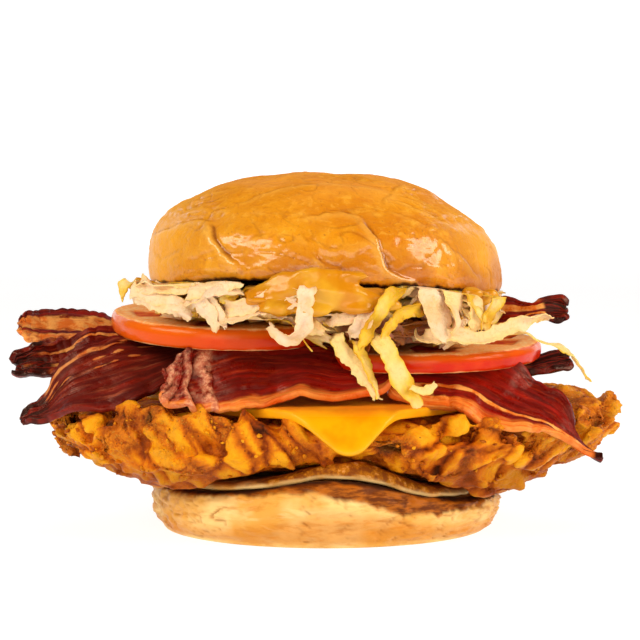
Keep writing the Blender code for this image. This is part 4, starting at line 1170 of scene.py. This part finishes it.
def orangeSauce():
    sauce = Finish("orangeSauce", Specular_IOR_Level=0.5, Specular_Tint=(1, 0.9, 0.75, 1))
    cloud = sauce.band(sauce.grain(9, 3, 0.5), 0.35, 0.68)
    fine = sauce.grain(1.2, 4, 0.6)
    colour = sauce.mix(cloud, tone(206, 130, 6), tone(222, 164, 36))
    colour = sauce.mix(sauce.band(fine, 0.6, 0.8) * 0.35, colour, tone(206, 112, 22))
    sauce.relief(fine * 0.3 + cloud, 0.4, 0.4)
    return sauce.look(Base_Color=colour, Roughness=sauce.gloss(0.22))


def buildSauce(material):
    bm = cadCopy("burger_sauce")
    for k, (centre, size) in enumerate(saucePlan["blobs"]):
        addLump(bm, Vector(centre), Vector(size), 40 + k * 3.1)
    bm = evaluated(bm, [("REMESH", {"mode": "VOXEL", "voxel_size": saucePlan["voxel"]}),
                        ("SMOOTH", {"factor": 0.6, "iterations": 6})])
    bm.normal_update()
    moves = []
    for vert in bm.verts:
        p = vert.co
        shown = ease((math.hypot(p.x, p.y) - 48) / 5)
        push = (0.55 * patch(p, 6) + 0.25 * patch(p, 2.5)) * shown
        moves.append(vert.normal * push)
    for vert, move in zip(bm.verts, moves):
        vert.co += move
    return finishPiece("burgerSauce", bm, material, "burger_sauce")


def buildSmears(material):
    bm = bmesh.new()
    for k, (centre, size) in enumerate(smearPlan["spots"]):
        addLump(bm, Vector(centre), Vector(size), 70 + k * 2.3)
    return finishPiece("sauceSmears", bm, material, None, [smoothOnce])


orange = orangeSauce()
buildSauce(orange)
buildSmears(orange)
print("orange sauce")

# Shredded lettuce: strips listed one by one at the front and seeded strips all round, in one heap.
# Each strip: (x, y, z) points from the heap outwards, width, tint from 0 green to 1 white, twist in degrees

lettucePlan = {
    "hand": [
        ([(27, -51, 69.6), (21.8, -54, 69.2), (18, -56.5, 65.6), (15.6, -58, 61.1)], 4.4, 0.3, (10, 20)),
        ([(15.1, -57.5, 62), (17.6, -59, 57.2), (20.4, -59.5, 52.1), (23.2, -60, 47), (26.6, -60, 42.2)],
         6.0, 0.35, (30, -15)),
        ([(24.4, -60, 47.6), (28.3, -60, 46.7), (31.2, -60, 49)], 2.4, 0.4, (0, 10)),
        ([(20.3, -55, 75.8), (15.6, -58, 69.7), (11.7, -58, 63.4), (9.4, -58.5, 59.2)], 4.2, 0.25, (15, -10)),
        ([(2.9, -57, 62.5), (5.1, -58.5, 57.8), (8.5, -59, 53.8), (11.9, -59.5, 49.3), (14.5, -60, 44.5)],
         4.4, 0.55, (-20, 20)),
        ([(9.4, -58.5, 59.8), (11.4, -59, 54.7), (13.3, -59.5, 49.3), (14.7, -60, 44.7)], 3.4, 0.4, (10, 30)),
        ([(-5.4, -60.5, 76.1), (-5.7, -60.5, 71.6), (-6.2, -59.5, 66.4), (-9.1, -57.5, 61.7), (-12.8, -56, 61.9),
          (-16.3, -54, 65.2)], 4.8, 0.95, (0, 35)),
        ([(-7.4, -56, 68.5), (-4.3, -57, 65.7), (-0.6, -58, 63.4)], 4.6, 0.7, (0, 0)),
        ([(11.7, -56, 69), (10.5, -57, 65.9), (8.3, -57, 63.7), (6.3, -56, 62.2)], 5.0, 0.95, (-10, 10)),
        ([(1.7, -56, 66.5), (5.7, -57, 67.1), (10, -56, 67.6)], 3.2, 0.8, (0, 15)),
        ([(30.6, -49.5, 76), (31.8, -52.4, 71.5), (33.6, -53.4, 66), (35.4, -53, 60.8)], 8.0, 0.85, (-5, 10)),
        ([(28.2, -50, 61.4), (36.2, -52, 61.9), (43.6, -52, 60.5), (50.1, -50, 62.7), (56.2, -46, 65.5),
          (61.8, -42, 67.0), (65.2, -40, 66.0)], 4.4, 0.7, (35, -35)),
        ([(58.1, -45, 62.6), (64.4, -45, 59.4), (69.7, -45, 57.6), (72.9, -45, 54.4), (75.5, -45, 51.2),
          (77.2, -45, 48.3)], 2.7, 0.5, (10, 40)),
        ([(40.6, -46, 76.6), (43.3, -48, 72.1), (46.2, -48, 65.7)], 5.0, 0.3, (20, -20)),
        ([(50.4, -43, 75.3), (47.8, -46, 69.6), (44.9, -47, 63.3)], 5.0, 0.35, (-10, 20)),
        ([(37.6, -48.5, 76), (38.4, -51.4, 71.5), (38.4, -52.4, 66.5), (37.4, -52, 61.8)], 7.4, 0.7, (15, 30)),
        ([(41.6, -47, 72.5), (43.6, -48.6, 68), (42.8, -48.6, 63.4)], 4.6, 0.6, (-20, 0)),
        ([(-56.5, -38, 76.3), (-58.8, -39, 74.5), (-59.1, -39, 71.6)], 4.5, 0.2, (0, 0)),
        ([(-57.2, -41, 74.3), (-51.1, -44, 72.7), (-44.5, -47, 70.6), (-39.8, -48, 68)], 7.0, 0.8, (10, -20)),
        ([(-54.2, -41, 76.1), (-45.1, -46, 76.6), (-36.3, -49, 75.9)], 6.0, 0.75, (-20, 20)),
        ([(-39.8, -49, 73.8), (-32.1, -52, 75.7), (-24, -53, 76.6)], 7.0, 0.9, (0, 20)),
        ([(-36.2, -50, 72.7), (-33, -52, 69.1), (-30.9, -53, 64.3)], 7.6, 0.95, (-10, 10)),
        ([(-28.7, -52, 68.2), (-21.7, -54, 69.5), (-14.5, -56, 71.6), (-8, -57, 73.1)], 7.0, 0.9, (0, -20)),
        ([(-30.2, -51, 72.8), (-25.5, -52, 72.8)], 3.2, 0.15, (0, 20)),
    ],
    # the first of them stay single and the others are split in two; one starts outside the heap
    "single": 18, "loose": 2,
    "strips": 280, "shreds": 110, "seed": 11, "thickness": 0.34, "gap": 0.7, "crisp": 50,
}
overLettuce = ["bun_crown", "burger_sauce"]


def crispLettuce():
    leaf = Finish("crispLettuce", Specular_IOR_Level=0.25, Specular_Tint=(1, 0.92, 0.8, 1), Subsurface_Weight=0.1,
                  Subsurface_Scale=0.002)
    veins = leaf.grain(1.3, 4, 0.6, bend=0.8)
    cloud = leaf.grain(6, 3, 0.5)
    tint = leaf.painted("tint") + (cloud - 0.5) * 0.45
    colour = leaf.ramp(tint, [(0.0, tone(212, 156, 8)), (0.2, tone(240, 194, 56)), (0.4, tone(244, 212, 132)),
                              (0.6, tone(250, 212, 146)), (0.8, tone(250, 214, 168)), (1.0, tone(250, 218, 184))])
    colour = leaf.mix(leaf.band(veins, 0.5, 0.72) * 0.5, colour, tone(232, 180, 104))
    colour = leaf.mix(leaf.band(leaf.grain(9, 3), 0.56, 0.68) * 0.35, colour, tone(226, 168, 60))
    # painted shade: strips deep in the heap painted dark red
    colour = leaf.mix(leaf.painted("deep") * 0.85, colour, tone(126, 32, 8))
    leaf.relief(veins * 0.9 + cloud * 0.5, 0.6, 0.9)
    return leaf.look(Base_Color=colour, Roughness=leaf.gloss(0.34))


class Heights:
    # how high the layers below reach and how low the ones above come, read once on a grid
    def __init__(self, reach=86, step=2.0, inside=55, highest=90):
        self.reach, self.step = reach, step
        self.size = int(2 * reach / step) + 1
        self.low, self.high = [], []
        for j in range(self.size):
            for i in range(self.size):
                x, y = -reach + i * step, -reach + j * step
                self.low.append(topOf(laidOrder, x, y))
                self.high.append(min(roofOf(overLettuce, x, y, inside), highest))

    def at(self, x, y):
        i = min(max((x + self.reach) / self.step, 0), self.size - 1.001)
        j = min(max((y + self.reach) / self.step, 0), self.size - 1.001)
        a, b, u, v = int(i), int(j), i % 1, j % 1
        corners = [(b * self.size + a, (1 - u) * (1 - v)), (b * self.size + a + 1, u * (1 - v)),
                   ((b + 1) * self.size + a, (1 - u) * v), ((b + 1) * self.size + a + 1, u * v)]
        low = sum(self.low[k] * share for k, share in corners)
        return low, sum(self.high[k] * share for k, share in corners)


def addLeaf(bm, layers, points, width, tint, twist, seed, segments, crinkle, heights=None):
    # one strip of leaf that faces outwards and up, crinkled, with ragged edges
    made = bmesh.ops.create_grid(bm, x_segments=segments[0], y_segments=segments[1], size=1)["verts"]
    tintLayer, heapShadeLayer = layers
    route = [Vector(p) for p in points]
    length = sum((b - a).length for a, b in zip(route, route[1:]))
    for vert in made:
        s, a = (vert.co.x + 1) / 2, vert.co.y
        centre = Vector(along(points, s))
        ahead = (Vector(along(points, s + 0.04)) - Vector(along(points, s - 0.04))).normalized()
        outward = Vector((centre.x, centre.y, 0)).normalized() + Vector((0, 0, 0.25))
        face = (outward - ahead * outward.dot(ahead)).normalized()
        over = ahead.cross(face)
        turned = twist[0] + (twist[1] - twist[0]) * s + 45 * noise.noise(Vector((s * length / 9, seed, 2)))
        c, d = math.cos(math.radians(turned)), math.sin(math.radians(turned))
        face, over = face * c - over * d, over * c + face * d
        here = Vector((s * length, a * width / 2, seed * 11.0))
        taper = 0.72 + 0.28 * ease(s * 6) if s < 0.5 else 0.5 + 0.5 * ease((1 - s) * 3.5)
        rimPlace = Vector((s * length, math.copysign(6, a), seed * 7.0))
        edge = width / 2 * taper * (1 + 0.2 * patch(rimPlace, 3.2))
        edge += 0.6 * patch(rimPlace, 2.4) + 0.6 * patch(rimPlace, 1.1)
        tip = patch(Vector((a * width / 2, seed * 5.0, math.copysign(4, s - 0.5))), 1.5) * min(width, 6) * 0.35
        tip *= ease((s - 0.8) / 0.2) - ease((0.2 - s) / 0.2)
        bend = crinkle * (1.5 * patch(here, 6) + 0.35 * patch(here, 2.0))
        bend += 0.26 * width * abs(a) * math.sin(seed * 2.3)
        p = centre + over * (a * max(edge, 0.3)) + face * bend + ahead * tip
        if heights:
            low, high = heights.at(p.x, p.y)
            # at the left of the front the heap ends above the tomato's rim
            low = max(low, (56 + 10 * ease((-p.x - 2) / 10)) * ease((-p.y - 30) / 5))
            low += lettucePlan["gap"]
            p.z = min(max(p.z, low), max(high - lettucePlan["gap"], low))
            # strips deep in the heap at the middle of the front, painted dark red as shade
            middle = ease((p.x - 1) / 4) * ease((33 - p.x) / 4)
            vert[heapShadeLayer] = middle * ease((69 + 1.5 * patch(p, 5) - p.z) / 3)
        # nothing climbs past the upper bun half's rim, but at the left end
        rimHeight = crownPlan["base"] - crownPlan["tilt"] * p.x - droopAt(p.x)
        p.z = min(p.z, rimHeight + 5 * ease((-p.x - 50) / 5) + 0.5 * ease((-p.x - 20) / 10))
        vert.co = p
        vert[tintLayer] = min(max(tint + 0.25 * patch(here, 6) - 0.2 * ease((abs(a) - 0.6) / 0.4), 0), 1)
    return made


def buildLettuce(material):
    plan = lettucePlan
    heights = Heights()
    bm = bmesh.new()
    layers = paintLayers(bm, "tint", "deep")
    draw = random.Random(plan["seed"])
    for k, (points, width, tint, twist) in enumerate(plan["hand"]):
        first = Vector(points[0])
        inner = (first.x * 0.86, first.y + 9, min(first.z, 74))
        route = points if k == plan["loose"] else [inner, *points]
        length = sum((Vector(b) - Vector(a)).length for a, b in zip(route, route[1:]))
        lying = abs(route[-1][0] - route[0][0]) > abs(route[-1][2] - route[0][2])
        shreds = 1 if k < plan["single"] else 2
        for j in range(shreds):
            # the halves of a split strip lie above each other if it is lying, and else side by side
            shift = 0.72 * width * ((j + 0.5) / shreds - 0.5)
            loose = (0.5, 0.6) if lying else (0.6, 0.5)
            moved = [(x + (0 if lying else shift) + draw.uniform(-loose[0], loose[0]), y - draw.uniform(0, 1.2),
                      z + (shift if lying else 0) + draw.uniform(-loose[1], loose[1])) for x, y, z in route]
            half, turned, line = width, twist, route
            if shreds > 1:
                half, line = width * 1.35 / shreds, moved
                turned = (twist[0] + draw.uniform(-30, 30), twist[1] + draw.uniform(-30, 30))
            segments = (max(int(length / 0.7), 12), 7)
            shade = tint + draw.uniform(-0.12, 0.08)
            addLeaf(bm, layers, line, half, shade, turned, k + 0.5 + j * 0.31, segments, 1.0)
    for k in range(plan["strips"]):
        turn = math.tau * (k * 0.618 % 1)
        bend = draw.uniform(-0.9, 0.9)
        start, reach = draw.uniform(20, 44), draw.uniform(45, 55.5)
        level, drop = draw.uniform(62, 76), draw.uniform(-7, 3)
        points = []
        for share in (0, 0.25, 0.5, 0.75, 1):
            r = start + (reach - start) * math.sin(share * math.pi / 2)
            at = turn + bend * share**1.3 + draw.uniform(-0.04, 0.04)
            points.append((r * math.cos(at), r * math.sin(at), level + drop * share**2 + draw.uniform(-1.2, 1.2)))
        twist = (draw.uniform(-60, 60), draw.uniform(-60, 60))
        tint = draw.choice((0.2, 0.4, 0.5, 0.6, 0.75, 0.9))
        addLeaf(bm, layers, points, draw.uniform(2.6, 6.5), tint, twist, k + 30.5, (16, 5),
                draw.uniform(0.7, 1.8), heights)
    for k in range(plan["shreds"]):
        # fine shreds that show between the broad strips at the front
        turn = math.radians(draw.uniform(198, 342))
        r, level = draw.uniform(51, 56), draw.uniform(62, 75)
        lean, length = draw.uniform(-0.9, 0.9), draw.uniform(7, 16)
        points = []
        for share in (0, 0.35, 0.7, 1):
            at = turn + length * share * math.cos(lean) / r * (1 if k % 2 else -1)
            out = r + 1.2 * math.sin(share * 3 + k)
            least = 66 if math.cos(at) < 0.1 else 58
            z = max(level + length * share * math.sin(lean), least)
            points.append((out * math.cos(at), out * math.sin(at), z))
        twist = (draw.uniform(-50, 50), draw.uniform(-50, 50))
        tint = draw.choice((0.15, 0.35, 0.6, 0.8, 0.9))
        addLeaf(bm, layers, points, draw.uniform(1.2, 3.4), tint, twist, k + 400.5, (14, 4), 0.8, heights)
    bmesh.ops.recalc_face_normals(bm, faces=bm.faces)
    bm = evaluated(bm, [("SOLIDIFY", {"thickness": plan["thickness"], "offset": 0})])
    return finishPiece("shreddedLettuce", bm, material, "shredded_lettuce", crisp=plan["crisp"])


buildLettuce(crispLettuce())
print("shredded lettuce")
